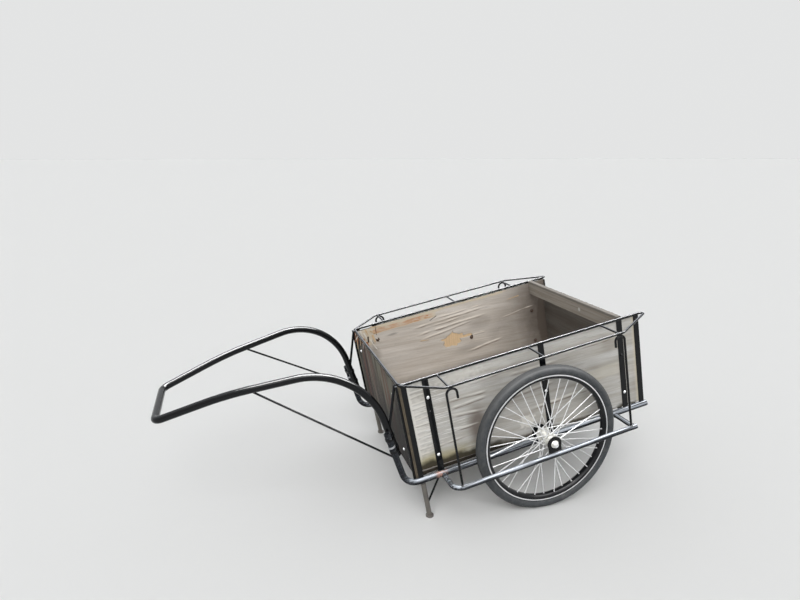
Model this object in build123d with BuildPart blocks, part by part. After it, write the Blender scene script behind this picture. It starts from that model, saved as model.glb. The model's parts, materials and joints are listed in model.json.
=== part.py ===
"""Two-wheeled hand cart: a bent steel-tube frame with a plywood box and two spoked wheels.

Everything is drawn in the bed frame, in millimetres: the origin is on the axle line halfway
between the wheels, +X points to the pull handle, +Y to the cart's left and +Z up from the floor
of the box. The cart parks nose down on its two stand legs, so the last section turns every piece
by the parking angle and sets the wheels and the feet on the ground.
"""
import os
from math import asin, atan2, cos, degrees, hypot, radians, sin, sqrt, tan

from build123d import *

# Gaps between pieces: soft or loose seats, bolted seats, and close fits
SEAT_GAP = 0.3
FAYING_GAP = 0.1
FIT_GAP = 0.05

# Wheels
WHEEL_RADIUS = 330.0
WHEEL_Y = 480.0
TYRE_HALF_WIDTH = 26.0
TYRE_HEIGHT = 37.0
TREAD_HALF_WIDTH = 10.0
SHOULDER_DROP = 5.5
SHOULDER_HALF_WIDTH = 20.5
SIDEWALL_DROP = 18.0
RIM_LIP_HEIGHT = 18.0
RIM_HALF_WIDTH = 18.0
RIM_WALL = 2.5
RIM_BED_HALF_WIDTH = 12.0
RIM_BASE_HALF_WIDTH = 10.0
RIM_SHOULDER_RISE = 4.0
RIM_TAPER = 1.0
BEAD_CLEARANCE = 0.5
NECK_CLEARANCE = 1.0
SPOKES_PER_WHEEL = 36
SPOKE_DIAMETER = 2.6
SPOKE_SIDES = 6
SPOKE_CROSS_PITCHES = 6
SPOKE_ELBOW = 1.2
SPOKE_RIM_OFFSET = 3.5
SPOKE_RIM_STAGGER = 1.6
FLANGE_RADIUS = 33.0
FLANGE_HOLE_RADIUS = 28.0
FLANGE_THICKNESS = 3.0
FLANGE_OFFSET = 28.0
HUB_HALF_LENGTH = 54.0
HUB_BARREL_RADIUS = 15.0
HUB_END_RADIUS = 20.0
AXLE_RADIUS = 7.0
COLLAR_RADIUS = 11.0
RUNNING_CLEARANCE = 0.06

# Box
SIDE_Y = 411.0
BOARD = 12.0
BOARD_INSET = 1.5
FLOOR_BOARD = 15.0
TOP_Z = 404.0
FRONT_X = 582.0
FRONT_BOARD_LIFT = 3.4
REAR_X = -550.0
SIDE_BOARD_FRONT_BOTTOM = 0.0
SIDE_BOARD_REAR_BOTTOM = -28.0
PLANK_X = -461.0
PLANK_THICKNESS = 22.0
PLANK_HEIGHT = 76.0
PLANK_RISE = 8.0
TAILBOARD_TOP = 320.0

# Frame tubes and rods
RAIL_Z = -45.0
RAIL_RADIUS = 13.6
RAIL_WALL = 2.3
RAIL_REAR_X = -560.0
UPRIGHT_CORNER_X = 633.0
UPRIGHT_TOP_Z = 217.0
UPRIGHT_LEAN = 8.0
RAIL_BEND = 65.0
GUARD_Y = 546.0
GUARD_Z = -50.0
GUARD_RADIUS = 10.85
GUARD_WALL = 2.0
GUARD_FRONT_X = 466.0
GUARD_REAR_X = -402.0
GUARD_STUB_X = -388.0
GUARD_BEND = 45.0
SHAFT_RADIUS = 15.9
SHAFT_WALL = 2.3
SHAFT_FOOT_Z = 92.0
SHAFT_BACKSET = 12.5
SHAFT_BEND = 300.0
SHAFT_KNEE_Z = 531.0
SHAFT_DIP_X = 1240.0
SHAFT_DIP_Z = 509.0
SHAFT_DIP_BEND = 1500.0
HANDLE_X = 1535.0
HANDLE_Z = 457.0
HANDLE_HALF_WIDTH = 177.0
HANDLE_BEND = 42.0
TOP_ROD_RADIUS = 6.0
TOP_ROD_BEND = 24.0
OUTER_ROD_RADIUS = 5.0
OUTER_ROD_FRONT_X = 432.0
OUTER_ROD_REAR_X = -376.0
OUTER_ROD_BEND = 30.0
REAR_LOOP_X = -586.0
REAR_LOOP_SPREAD = 6.0
REAR_LOOP_BEND = 11.0
STRUT_RADIUS = 4.5
STRUT_XS = (418.0, 0.0, -352.0)
HOOK_ROD_RADIUS = 5.0
HOOK_BEND = 22.0
HOOK_TIP = 24.0
STAY_RADIUS = 6.0
STAY_TOP_Y = 386.0
STAY_REACH = 11.2
STAY_FOOT_DROP = 10.0
BRACE_RADIUS = 4.5
BRACE_TOP_X = 1150.0
BRACE_FOOT_Z = 95.0
FRONT_ROD_RADIUS = 5.0
CLAMP_THICKNESS = 2.5
CLAMP_HEIGHT = 12.0
CLAMP_ZS = (132.0, 190.0)

# Flat bars and angles
POST_WIDTH = 28.0
POST_THICKNESS = 3.0
SIDE_POST_XS = (472.0, -59.0, -450.0)
FRONT_POST_YS = (292.0, -292.0)
CORNER_LEG = 22.0
REAR_CORNER_LEG = 26.0
BEARER_LEG = 25.0
BEARER_THICKNESS = 3.0
BEARER_XS = (548.0, 472.0, -59.0, -450.0, -524.0)
BRACKET_THICKNESS = 4.0
BRACKET_HALF_WIDTH = 30.0
BRACKET_TOP_RADIUS = 33.0
INNER_BRACKET_Y = 415.0
OUTER_BRACKET_Y = 542.0
WASHER_THICKNESS = 2.5
WASHER_RADIUS = 16.0
NUT_HEIGHT = 11.0
NUT_ACROSS_FLATS = 24.0
AXLE_END = 5.0

# Stand
LEG_X = 562.0
LEG_RADIUS = 10.85
LEG_WALL = 2.0
FOOT_DROP = 227.0
PAD_RADIUS = 17.0
PAD_THICKNESS = 8.0
LEG_BRACE_X = 482.0
LEG_BRACE_Z = -166.0

# The parking angle brings the wheels and the feet on to one ground plane
foot_reach = hypot(LEG_X, FOOT_DROP)
PARK_ANGLE = degrees(asin(WHEEL_RADIUS / foot_reach) - atan2(FOOT_DROP, LEG_X))

board_outer_y = SIDE_Y - BOARD_INSET
board_inner_y = board_outer_y - BOARD
post_y = board_outer_y + POST_THICKNESS / 2
rail_top_z = RAIL_Z + RAIL_RADIUS
rail_inner_y = SIDE_Y - RAIL_RADIUS
rod_under_z = TOP_Z - TOP_ROD_RADIUS
board_top_z = rod_under_z - SEAT_GAP
floor_bottom_z = rail_top_z + FAYING_GAP
floor_top_z = floor_bottom_z + FLOOR_BOARD
front_board_back_x = FRONT_X - BOARD / 2
front_board_face_x = FRONT_X + BOARD / 2
pieces = {}


def round_bar(points, bar_radius, bends=None, wall=0.0):
    """Sweep a round bar, or a tube with a wall, along straight runs joined by bends."""
    with BuildPart() as bar:
        with BuildLine() as path:
            if bends is None:
                Polyline(*points)
            else:
                FilletPolyline(*points, radius=bends)
        with BuildSketch(Plane(origin=path.line @ 0, z_dir=path.line % 0)):
            Circle(bar_radius)
            if wall:
                Circle(bar_radius - wall, mode=Mode.SUBTRACT)
        sweep()
    return bar.part


def both_sides(part):
    """A left-hand piece together with its mirror image on the right."""
    return Compound([*part.solids(), *mirror(part, about=Plane.XZ).solids()])


def keep_pair(name, part):
    """Keep a left-hand piece and its mirror image as two pieces."""
    pieces[name + "_left"] = part
    pieces[name + "_right"] = mirror(part, about=Plane.XZ)


def upright_x(z):
    """Where the axis of the front upright is at a height."""
    return UPRIGHT_CORNER_X + (z - RAIL_Z) * tan(radians(UPRIGHT_LEAN))


# Chassis tubes: lower rail and front upright in one bent tube
chassis_points = (
    (RAIL_REAR_X, SIDE_Y, RAIL_Z),
    (UPRIGHT_CORNER_X, SIDE_Y, RAIL_Z),
    (upright_x(UPRIGHT_TOP_Z), SIDE_Y, UPRIGHT_TOP_Z),
)
chassis_core = round_bar(chassis_points, RAIL_RADIUS, RAIL_BEND)
with BuildPart() as chassis_tube:
    add(round_bar(chassis_points, RAIL_RADIUS, RAIL_BEND, RAIL_WALL))
keep_pair("chassis_tube", chassis_tube.part)

# Wheel guards: the outer tube that runs outside the wheel and carries the axle's outer end
guard_points = (
    (GUARD_FRONT_X, SIDE_Y, GUARD_Z),
    (GUARD_FRONT_X, GUARD_Y, GUARD_Z),
    (GUARD_REAR_X, GUARD_Y, GUARD_Z),
)
guard_core = round_bar(guard_points, GUARD_RADIUS, GUARD_BEND)
with BuildPart() as guard_tube:
    add(round_bar(guard_points, GUARD_RADIUS, GUARD_BEND, GUARD_WALL))
    add(chassis_core, mode=Mode.SUBTRACT)
keep_pair("guard_tube", guard_tube.part)

stub_points = ((GUARD_STUB_X, SIDE_Y, GUARD_Z), (GUARD_STUB_X, GUARD_Y, GUARD_Z))
with BuildPart() as guard_stub:
    add(round_bar(stub_points, GUARD_RADIUS, wall=GUARD_WALL))
    add(chassis_core, mode=Mode.SUBTRACT)
    add(guard_core, mode=Mode.SUBTRACT)
pieces["guard_stubs"] = both_sides(guard_stub.part)

# Shaft loop: both shafts and the handle bar are one long bent tube
shaft_y = SIDE_Y - sqrt((RAIL_RADIUS + SHAFT_RADIUS) ** 2 - SHAFT_BACKSET ** 2) - FIT_GAP


def shaft_x(z):
    """Where the axis of the shaft's straight foot is at a height."""
    return upright_x(z) - SHAFT_BACKSET / cos(radians(UPRIGHT_LEAN))


knee_x = shaft_x(SHAFT_KNEE_Z)
shaft_slope = (shaft_y - HANDLE_HALF_WIDTH) / (HANDLE_X - knee_x)
dip_y = shaft_y - shaft_slope * (SHAFT_DIP_X - knee_x)
shaft_side = (
    (shaft_x(SHAFT_FOOT_Z), shaft_y, SHAFT_FOOT_Z),
    (knee_x, shaft_y, SHAFT_KNEE_Z),
    (SHAFT_DIP_X, dip_y, SHAFT_DIP_Z),
    (HANDLE_X, HANDLE_HALF_WIDTH, HANDLE_Z),
)
shaft_points = shaft_side + tuple((x, -y, z) for x, y, z in reversed(shaft_side))
shaft_bends = (SHAFT_BEND, SHAFT_DIP_BEND, HANDLE_BEND, HANDLE_BEND, SHAFT_DIP_BEND, SHAFT_BEND)
shaft_core = round_bar(shaft_points, SHAFT_RADIUS, shaft_bends)
with BuildPart() as shaft_loop:
    add(round_bar(shaft_points, SHAFT_RADIUS, shaft_bends, SHAFT_WALL))
pieces["shaft_loop"] = shaft_loop.part

# Clamp bands that tie the foot of each shaft to its upright
lean_direction = (sin(radians(UPRIGHT_LEAN)), 0, cos(radians(UPRIGHT_LEAN)))
with BuildPart() as clamp_bands:
    for z in CLAMP_ZS:
        band_plane = Plane(
            origin=(upright_x(z), SIDE_Y, z), x_dir=(0, 1, 0), z_dir=lean_direction
        )
        shaft_place = band_plane.to_local_coords(Vector(shaft_x(z), shaft_y, z))
        with BuildSketch(band_plane):
            for grow, mode in ((CLAMP_THICKNESS + FAYING_GAP, Mode.ADD), (FAYING_GAP, Mode.SUBTRACT)):
                with BuildSketch(Plane.XY, mode=Mode.PRIVATE) as outline:
                    Circle(RAIL_RADIUS + grow)
                    with Locations((shaft_place.X, shaft_place.Y)):
                        Circle(SHAFT_RADIUS + grow)
                    make_hull()
                add(outline.sketch, mode=mode)
        extrude(amount=CLAMP_HEIGHT / 2, both=True)
pieces["clamp_bands"] = both_sides(clamp_bands.part)

# Thin braces from under the shafts down to the uprights
brace_y = shaft_y - shaft_slope * (BRACE_TOP_X - knee_x)
brace_z = SHAFT_KNEE_Z + (SHAFT_DIP_Z - SHAFT_KNEE_Z) * (BRACE_TOP_X - knee_x) / (SHAFT_DIP_X - knee_x)
brace_points = (
    (BRACE_TOP_X, brace_y, brace_z),
    (upright_x(BRACE_FOOT_Z), SIDE_Y, BRACE_FOOT_Z),
)
with BuildPart() as shaft_brace:
    add(round_bar(brace_points, BRACE_RADIUS))
    add(shaft_core, mode=Mode.SUBTRACT)
    add(chassis_core, mode=Mode.SUBTRACT)
pieces["shaft_braces"] = both_sides(shaft_brace.part)

# Top rim: one rod along the left side, the front and the right side
rim_rod_points = (
    (REAR_X, SIDE_Y, TOP_Z),
    (FRONT_X, SIDE_Y, TOP_Z),
    (FRONT_X, -SIDE_Y, TOP_Z),
    (REAR_X, -SIDE_Y, TOP_Z),
)
with BuildPart() as rim_rod:
    add(round_bar(rim_rod_points, TOP_ROD_RADIUS, TOP_ROD_BEND))
pieces["rim_rod"] = rim_rod.part

# Outer rods above the wheels, each coming back to the rim in a tight loop at the rear
outer_rod_points = (
    (FRONT_X, SIDE_Y, TOP_Z),
    (OUTER_ROD_FRONT_X, GUARD_Y, TOP_Z),
    (OUTER_ROD_REAR_X, GUARD_Y, TOP_Z),
    (REAR_LOOP_X, SIDE_Y + REAR_LOOP_SPREAD, TOP_Z),
    (REAR_X, SIDE_Y, TOP_Z),
)
outer_rod_bends = (OUTER_ROD_BEND, OUTER_ROD_BEND, REAR_LOOP_BEND)
with BuildPart() as outer_rod:
    add(round_bar(outer_rod_points, OUTER_ROD_RADIUS, outer_rod_bends))
    add(rim_rod.part, mode=Mode.SUBTRACT)
keep_pair("outer_rod", outer_rod.part)

with BuildPart() as rim_struts:
    for x in STRUT_XS:
        add(round_bar(((x, SIDE_Y, TOP_Z), (x, GUARD_Y, TOP_Z)), STRUT_RADIUS))
    add(rim_rod.part, mode=Mode.SUBTRACT)
    add(outer_rod.part, mode=Mode.SUBTRACT)
pieces["rim_struts"] = both_sides(rim_struts.part)

# Hook rods: from the guard tube up to the outer rod, ending in a cane hook
hook_arc_z = TOP_Z - OUTER_ROD_RADIUS - HOOK_ROD_RADIUS - HOOK_BEND
with BuildPart() as hook_rods:
    for x, turn in ((OUTER_ROD_FRONT_X, -1), (OUTER_ROD_REAR_X, 1)):
        tip_x = x + turn * 2 * HOOK_BEND
        with BuildLine() as hook_path:
            Line((x, GUARD_Y, GUARD_Z), (x, GUARD_Y, hook_arc_z))
            ThreePointArc(
                (x, GUARD_Y, hook_arc_z),
                (x + turn * HOOK_BEND, GUARD_Y, hook_arc_z + HOOK_BEND),
                (tip_x, GUARD_Y, hook_arc_z),
            )
            Line((tip_x, GUARD_Y, hook_arc_z), (tip_x, GUARD_Y, hook_arc_z - HOOK_TIP))
        with BuildSketch(Plane(origin=(x, GUARD_Y, GUARD_Z), z_dir=(0, 0, 1))):
            Circle(HOOK_ROD_RADIUS)
        sweep(path=hook_path.line)
    add(guard_core, mode=Mode.SUBTRACT)
keep_pair("hook_rods", hook_rods.part)

# Front: stays from the rim to the shafts, and a rod up each front corner
stay_foot_z = UPRIGHT_TOP_Z - STAY_FOOT_DROP
stay_points = (
    (FRONT_X + STAY_REACH, STAY_TOP_Y, TOP_Z),
    (shaft_x(stay_foot_z), shaft_y, stay_foot_z),
)
with BuildPart() as front_stay:
    add(round_bar(stay_points, STAY_RADIUS))
    add(rim_rod.part, mode=Mode.SUBTRACT)
    add(shaft_core, mode=Mode.SUBTRACT)
pieces["front_stays"] = both_sides(front_stay.part)

front_rod_x = front_board_face_x + FRONT_ROD_RADIUS
front_rod_y = SIDE_Y - FRONT_ROD_RADIUS
with BuildPart() as front_rod:
    add(round_bar(((front_rod_x, front_rod_y, RAIL_Z), (front_rod_x, front_rod_y, TOP_Z)),
                  FRONT_ROD_RADIUS))
    add(chassis_core, mode=Mode.SUBTRACT)
pieces["front_rods"] = both_sides(front_rod.part)

# Flat-bar posts on the outside of the side boards and inside the front board
post_height = rod_under_z - rail_top_z
post_middle_z = (rod_under_z + rail_top_z) / 2
with BuildPart() as side_posts:
    with Locations([(x, post_y, post_middle_z) for x in SIDE_POST_XS]):
        Box(POST_WIDTH, POST_THICKNESS, post_height)
keep_pair("side_posts", side_posts.part)

with BuildPart() as front_posts:
    with Locations(
        [(front_board_back_x - POST_THICKNESS / 2, y, (board_top_z + floor_top_z) / 2)
         for y in FRONT_POST_YS]
    ):
        Box(POST_THICKNESS, POST_WIDTH, board_top_z - floor_top_z)
pieces["front_posts"] = front_posts.part

# Angle posts in the four corners of the box
post_outer_y = board_outer_y + POST_THICKNESS
front_flange_x = front_board_back_x
with BuildPart() as corner_posts:
    for edge_x, leg, inward in ((front_flange_x, CORNER_LEG, -1), (REAR_X, REAR_CORNER_LEG, 1)):
        with BuildSketch(Plane.XY.offset(rail_top_z)):
            with BuildLine():
                Polyline(
                    (edge_x, post_outer_y),
                    (edge_x + inward * leg, post_outer_y),
                    (edge_x + inward * leg, board_outer_y),
                    (edge_x + inward * POST_THICKNESS, board_outer_y),
                    (edge_x + inward * POST_THICKNESS, post_outer_y - leg),
                    (edge_x, post_outer_y - leg),
                    close=True,
                )
            make_face()
        extrude(amount=post_height)
pieces["corner_posts"] = both_sides(corner_posts.part)

# Angle bearers under the floor, between the rails
bearer_end_y = rail_inner_y - FAYING_GAP
with BuildPart() as cross_bearers:
    for x in BEARER_XS:
        with BuildSketch(Plane.XZ.offset(-bearer_end_y)):
            with BuildLine():
                Polyline(
                    (x - BEARER_LEG / 2, floor_bottom_z),
                    (x + BEARER_LEG / 2, floor_bottom_z),
                    (x + BEARER_LEG / 2, floor_bottom_z - BEARER_LEG),
                    (x + BEARER_LEG / 2 - BEARER_THICKNESS, floor_bottom_z - BEARER_LEG),
                    (x + BEARER_LEG / 2 - BEARER_THICKNESS, floor_bottom_z - BEARER_THICKNESS),
                    (x - BEARER_LEG / 2, floor_bottom_z - BEARER_THICKNESS),
                    close=True,
                )
            make_face()
        extrude(amount=2 * bearer_end_y)
pieces["cross_bearers"] = cross_bearers.part

# Boards of the box
tail_back_x = REAR_X + POST_THICKNESS
floor_rear_x = tail_back_x + BOARD + FAYING_GAP
floor_front_x = front_board_back_x - POST_THICKNESS - FAYING_GAP
board_rear_x = tail_back_x
board_front_x = front_flange_x - POST_THICKNESS
with BuildPart() as side_board:
    with BuildSketch(Plane.XZ.offset(-board_outer_y)):
        with BuildLine():
            Polyline(
                (board_rear_x, board_top_z),
                (board_front_x, board_top_z),
                (board_front_x, SIDE_BOARD_FRONT_BOTTOM),
                (board_rear_x, SIDE_BOARD_REAR_BOTTOM),
                close=True,
            )
        make_face()
    extrude(amount=BOARD)
keep_pair("side_board", side_board.part)

inner_width = 2 * (board_inner_y - SEAT_GAP)
with BuildPart() as floor_panel:
    with Locations(((floor_rear_x + floor_front_x) / 2, 0, (floor_top_z + floor_bottom_z) / 2)):
        Box(floor_front_x - floor_rear_x, inner_width, FLOOR_BOARD)
pieces["floor_panel"] = floor_panel.part

front_board_bottom = rail_top_z + FRONT_BOARD_LIFT
with BuildPart() as front_board:
    with Locations((FRONT_X, 0, (board_top_z + front_board_bottom) / 2)):
        Box(BOARD, 2 * post_outer_y, board_top_z - front_board_bottom)
pieces["front_board"] = front_board.part

with BuildPart() as tail_board:
    with Locations((tail_back_x + BOARD / 2, 0, (TAILBOARD_TOP + floor_bottom_z) / 2)):
        Box(BOARD, inner_width, TAILBOARD_TOP - floor_bottom_z)
pieces["tail_board"] = tail_board.part

with BuildPart() as cross_plank:
    with Locations((PLANK_X, 0, TOP_Z + PLANK_RISE - PLANK_HEIGHT / 2)):
        Box(PLANK_THICKNESS, inner_width, PLANK_HEIGHT)
pieces["cross_plank"] = cross_plank.part

# Axle brackets: plates that stand on the rail and on the guard tube
with BuildPart() as axle_brackets:
    for middle_y, base_z in ((INNER_BRACKET_Y, RAIL_Z), (OUTER_BRACKET_Y, GUARD_Z)):
        with BuildSketch(Plane.XZ.offset(-(middle_y + BRACKET_THICKNESS / 2))):
            Circle(BRACKET_TOP_RADIUS)
            with Locations((0, base_z / 2)):
                Rectangle(2 * BRACKET_HALF_WIDTH, -base_z)
            Circle(AXLE_RADIUS + FIT_GAP, mode=Mode.SUBTRACT)
        extrude(amount=BRACKET_THICKNESS)
    add(chassis_core, mode=Mode.SUBTRACT)
    add(guard_core, mode=Mode.SUBTRACT)
pieces["axle_brackets"] = both_sides(axle_brackets.part)

# Fixed axles with their collars, and the washers and nuts outside the brackets
inner_face_y = INNER_BRACKET_Y + BRACKET_THICKNESS / 2
outer_face_y = OUTER_BRACKET_Y + BRACKET_THICKNESS / 2
nut_outer_y = outer_face_y + WASHER_THICKNESS + NUT_HEIGHT
hub_ends_y = (WHEEL_Y - HUB_HALF_LENGTH - SEAT_GAP, WHEEL_Y + HUB_HALF_LENGTH + SEAT_GAP)
collars = (
    (inner_face_y, hub_ends_y[0]),
    (hub_ends_y[1], OUTER_BRACKET_Y - BRACKET_THICKNESS / 2),
)
with BuildPart() as axle:
    with BuildSketch(Plane.XZ.offset(-(nut_outer_y + AXLE_END))):
        Circle(AXLE_RADIUS)
    extrude(amount=nut_outer_y + AXLE_END - (INNER_BRACKET_Y - BRACKET_THICKNESS / 2))
    for start_y, end_y in collars:
        with BuildSketch(Plane.XZ.offset(-end_y)):
            Circle(COLLAR_RADIUS)
        extrude(amount=end_y - start_y)
pieces["axles"] = both_sides(axle.part)

with BuildPart() as axle_nut:
    with BuildSketch(Plane.XZ.offset(-(outer_face_y + WASHER_THICKNESS))):
        Circle(WASHER_RADIUS)
        Circle(AXLE_RADIUS + FIT_GAP, mode=Mode.SUBTRACT)
    extrude(amount=WASHER_THICKNESS)
    with BuildSketch(Plane.XZ.offset(-nut_outer_y)):
        RegularPolygon(NUT_ACROSS_FLATS / 2, 6, major_radius=False)
        Circle(AXLE_RADIUS + FIT_GAP, mode=Mode.SUBTRACT)
    extrude(amount=NUT_HEIGHT)
pieces["axle_nuts"] = both_sides(axle_nut.part)

# Stand legs under the front of the rails, with a brace and a foot pad each
ground = Plane(
    origin=(LEG_X, SIDE_Y, -FOOT_DROP),
    x_dir=(cos(radians(PARK_ANGLE)), 0, sin(radians(PARK_ANGLE))),
    z_dir=(-sin(radians(PARK_ANGLE)), 0, cos(radians(PARK_ANGLE))),
)
with BuildPart() as stand_leg:
    add(round_bar(((LEG_X, SIDE_Y, RAIL_Z), (LEG_X, SIDE_Y, -FOOT_DROP)), LEG_RADIUS,
                  wall=LEG_WALL))
    add(chassis_core, mode=Mode.SUBTRACT)
    split(bisect_by=ground.offset(PAD_THICKNESS), keep=Keep.TOP)
pieces["stand_legs"] = both_sides(stand_leg.part)

with BuildPart() as foot_pad:
    with BuildSketch(ground):
        Circle(PAD_RADIUS)
    extrude(amount=PAD_THICKNESS)
pieces["foot_pads"] = both_sides(foot_pad.part)

leg_core = round_bar(((LEG_X, SIDE_Y, RAIL_Z), (LEG_X, SIDE_Y, -FOOT_DROP)), LEG_RADIUS)
with BuildPart() as leg_brace:
    add(round_bar(((LEG_BRACE_X, SIDE_Y, RAIL_Z), (LEG_X, SIDE_Y, LEG_BRACE_Z)), BRACE_RADIUS))
    add(chassis_core, mode=Mode.SUBTRACT)
    add(leg_core, mode=Mode.SUBTRACT)
pieces["leg_braces"] = both_sides(leg_brace.part)

# Wheels, drawn about the axle of the left one
wheel_plane = Plane(origin=(0, WHEEL_Y, 0), x_dir=(1, 0, 0), z_dir=(0, -1, 0))
lip_inner = RIM_HALF_WIDTH - RIM_WALL
rim_lip_radius = WHEEL_RADIUS - TYRE_HEIGHT
rim_bed_radius = rim_lip_radius - RIM_LIP_HEIGHT
rim_base_radius = rim_bed_radius - RIM_WALL
neck_radius = rim_lip_radius + NECK_CLEARANCE
neck_half = lip_inner - NECK_CLEARANCE
bead_half = RIM_BED_HALF_WIDTH - BEAD_CLEARANCE
tyre_side = (
    # radius, half width, from the tread's edge in to the bead
    (WHEEL_RADIUS, TREAD_HALF_WIDTH),
    (WHEEL_RADIUS - SHOULDER_DROP, SHOULDER_HALF_WIDTH),
    (WHEEL_RADIUS - SIDEWALL_DROP, TYRE_HALF_WIDTH),
    (neck_radius, neck_half),
    (rim_bed_radius + SEAT_GAP, bead_half),
)
with BuildPart() as tyre:
    with BuildSketch(Plane.XY):
        with BuildLine():
            Polyline(
                *[(radius, WHEEL_Y + half) for radius, half in tyre_side],
                *[(radius, WHEEL_Y - half) for radius, half in reversed(tyre_side)],
                close=True,
            )
        make_face()
    revolve(axis=Axis.Y)
keep_pair("tyre", tyre.part)

rim_side = (
    # radius, half width, from the inside of the bed round the lip to the base
    (rim_bed_radius, RIM_BED_HALF_WIDTH),
    (rim_lip_radius, lip_inner),
    (rim_lip_radius, RIM_HALF_WIDTH),
    (rim_bed_radius + RIM_SHOULDER_RISE, RIM_HALF_WIDTH - RIM_TAPER),
    (rim_base_radius, RIM_BASE_HALF_WIDTH),
)
with BuildPart() as wheel_rim:
    with BuildSketch(Plane.XY):
        with BuildLine():
            Polyline(
                *[(radius, WHEEL_Y + half) for radius, half in rim_side],
                *[(radius, WHEEL_Y - half) for radius, half in reversed(rim_side)],
                close=True,
            )
        make_face()
    revolve(axis=Axis.Y)
keep_pair("wheel_rim", wheel_rim.part)

flange_inside = FLANGE_OFFSET - FLANGE_THICKNESS / 2
flange_outside = FLANGE_OFFSET + FLANGE_THICKNESS / 2
bore_radius = AXLE_RADIUS + RUNNING_CLEARANCE
with BuildPart() as wheel_hub:
    with BuildSketch(Plane.XY):
        with BuildLine():
            Polyline(
                (bore_radius, WHEEL_Y - HUB_HALF_LENGTH),
                (HUB_END_RADIUS, WHEEL_Y - HUB_HALF_LENGTH),
                (HUB_END_RADIUS, WHEEL_Y - flange_outside),
                (FLANGE_RADIUS, WHEEL_Y - flange_outside),
                (FLANGE_RADIUS, WHEEL_Y - flange_inside),
                (HUB_BARREL_RADIUS, WHEEL_Y - flange_inside),
                (HUB_BARREL_RADIUS, WHEEL_Y + flange_inside),
                (FLANGE_RADIUS, WHEEL_Y + flange_inside),
                (FLANGE_RADIUS, WHEEL_Y + flange_outside),
                (HUB_END_RADIUS, WHEEL_Y + flange_outside),
                (HUB_END_RADIUS, WHEEL_Y + HUB_HALF_LENGTH),
                (bore_radius, WHEEL_Y + HUB_HALF_LENGTH),
                close=True,
            )
        make_face()
    revolve(axis=Axis.Y)
keep_pair("wheel_hub", wheel_hub.part)

# Laced spokes: on each flange every other spoke lies outside and leans the other way
spoke_pitch = 360 / SPOKES_PER_WHEEL
spoke_radius = SPOKE_DIAMETER / 2
spoke_seat = FLANGE_THICKNESS / 2 + spoke_radius + FAYING_GAP
rim_seat_radius = rim_base_radius - SEAT_GAP
with BuildPart() as wheel_spokes:
    for number in range(SPOKES_PER_WHEEL):
        flange = 1 if number % 2 else -1
        outside = 1 if number % 4 < 2 else -1
        hub_angle = radians(number * spoke_pitch)
        rim_angle = hub_angle + outside * radians(SPOKE_CROSS_PITCHES * spoke_pitch)
        elbow = SPOKE_ELBOW if outside > 0 else 0
        hub_y = WHEEL_Y + flange * (FLANGE_OFFSET + outside * spoke_seat + elbow)
        rim_y = WHEEL_Y + flange * (SPOKE_RIM_OFFSET + outside * SPOKE_RIM_STAGGER)
        hub_end = Vector(
            FLANGE_HOLE_RADIUS * cos(hub_angle), hub_y, FLANGE_HOLE_RADIUS * sin(hub_angle)
        )
        rim_end = Vector(
            rim_seat_radius * cos(rim_angle), rim_y, rim_seat_radius * sin(rim_angle)
        )
        with BuildSketch(Plane(origin=hub_end, z_dir=rim_end - hub_end)):
            RegularPolygon(spoke_radius, SPOKE_SIDES)
        extrude(amount=(rim_end - hub_end).length)
keep_pair("wheel_spokes", wheel_spokes.part)

# Park the cart: nose down on its feet, on the ground, with the origin under its middle
parked = {}
for name, part in pieces.items():
    parked[name] = part.moved(Location((0, 0, WHEEL_RADIUS), (0, PARK_ANGLE, 0)))
boxes = [part.bounding_box() for part in parked.values()]
middle_x = (min(box.min.X for box in boxes) + max(box.max.X for box in boxes)) / 2

os.makedirs("parts", exist_ok=True)
for name, part in parked.items():
    placed = part.moved(Location((-middle_x, 0, 0)))
    placed.label = name
    export_step(placed, f"parts/{name}.step")

print("parking angle", round(PARK_ANGLE, 3), "axle x", round(-middle_x, 3))
print("length", round(max(box.max.X for box in boxes) - min(box.min.X for box in boxes), 1))
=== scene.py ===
"""Looks of a two-wheeled hand cart: worn black tube frame, weathered plywood box, spoked wheels.

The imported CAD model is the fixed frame. New pieces are drawn in millimetres in the bed frame of
the part's source: its origin is on the axle line halfway between the wheels, +X points to the
pull handle, +Y to the cart's left and +Z up from the floor of the box. Each finished mesh is
turned into the row frame, in metres, by one matrix that is worked out from the record.
"""

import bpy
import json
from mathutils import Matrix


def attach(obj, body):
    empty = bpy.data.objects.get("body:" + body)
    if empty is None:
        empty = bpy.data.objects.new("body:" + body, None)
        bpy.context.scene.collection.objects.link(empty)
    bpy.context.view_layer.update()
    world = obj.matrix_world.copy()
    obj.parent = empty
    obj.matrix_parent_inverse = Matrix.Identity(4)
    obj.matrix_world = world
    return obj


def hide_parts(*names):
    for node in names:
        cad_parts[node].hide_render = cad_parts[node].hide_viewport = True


bl_info = {
    "name": "Hand Cart Looks",
    "version": (1, 0, 0),
    "blender": (4, 5, 0),
    "location": "View3D > Sidebar > Hand Cart",
    "description": "Dresses the two-wheeled hand cart around its CAD frame",
    "category": "Object",
}

import json
from math import cos, exp, pi, radians, sin, sqrt

import bmesh
import bpy
from mathutils import Matrix, Vector, noise

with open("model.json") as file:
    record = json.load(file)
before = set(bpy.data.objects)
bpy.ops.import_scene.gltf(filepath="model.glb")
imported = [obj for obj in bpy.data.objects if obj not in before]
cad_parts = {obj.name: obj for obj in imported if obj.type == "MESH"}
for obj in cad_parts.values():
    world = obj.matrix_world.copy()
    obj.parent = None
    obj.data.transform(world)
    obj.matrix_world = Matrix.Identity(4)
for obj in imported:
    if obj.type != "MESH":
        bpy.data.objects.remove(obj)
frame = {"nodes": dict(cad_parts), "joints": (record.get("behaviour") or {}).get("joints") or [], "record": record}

BODIES = {"left": "wheel_left", "right": "wheel_right"}
SIDES = {"left": 1, "right": -1}
MILLIMETRE = 0.001


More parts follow.
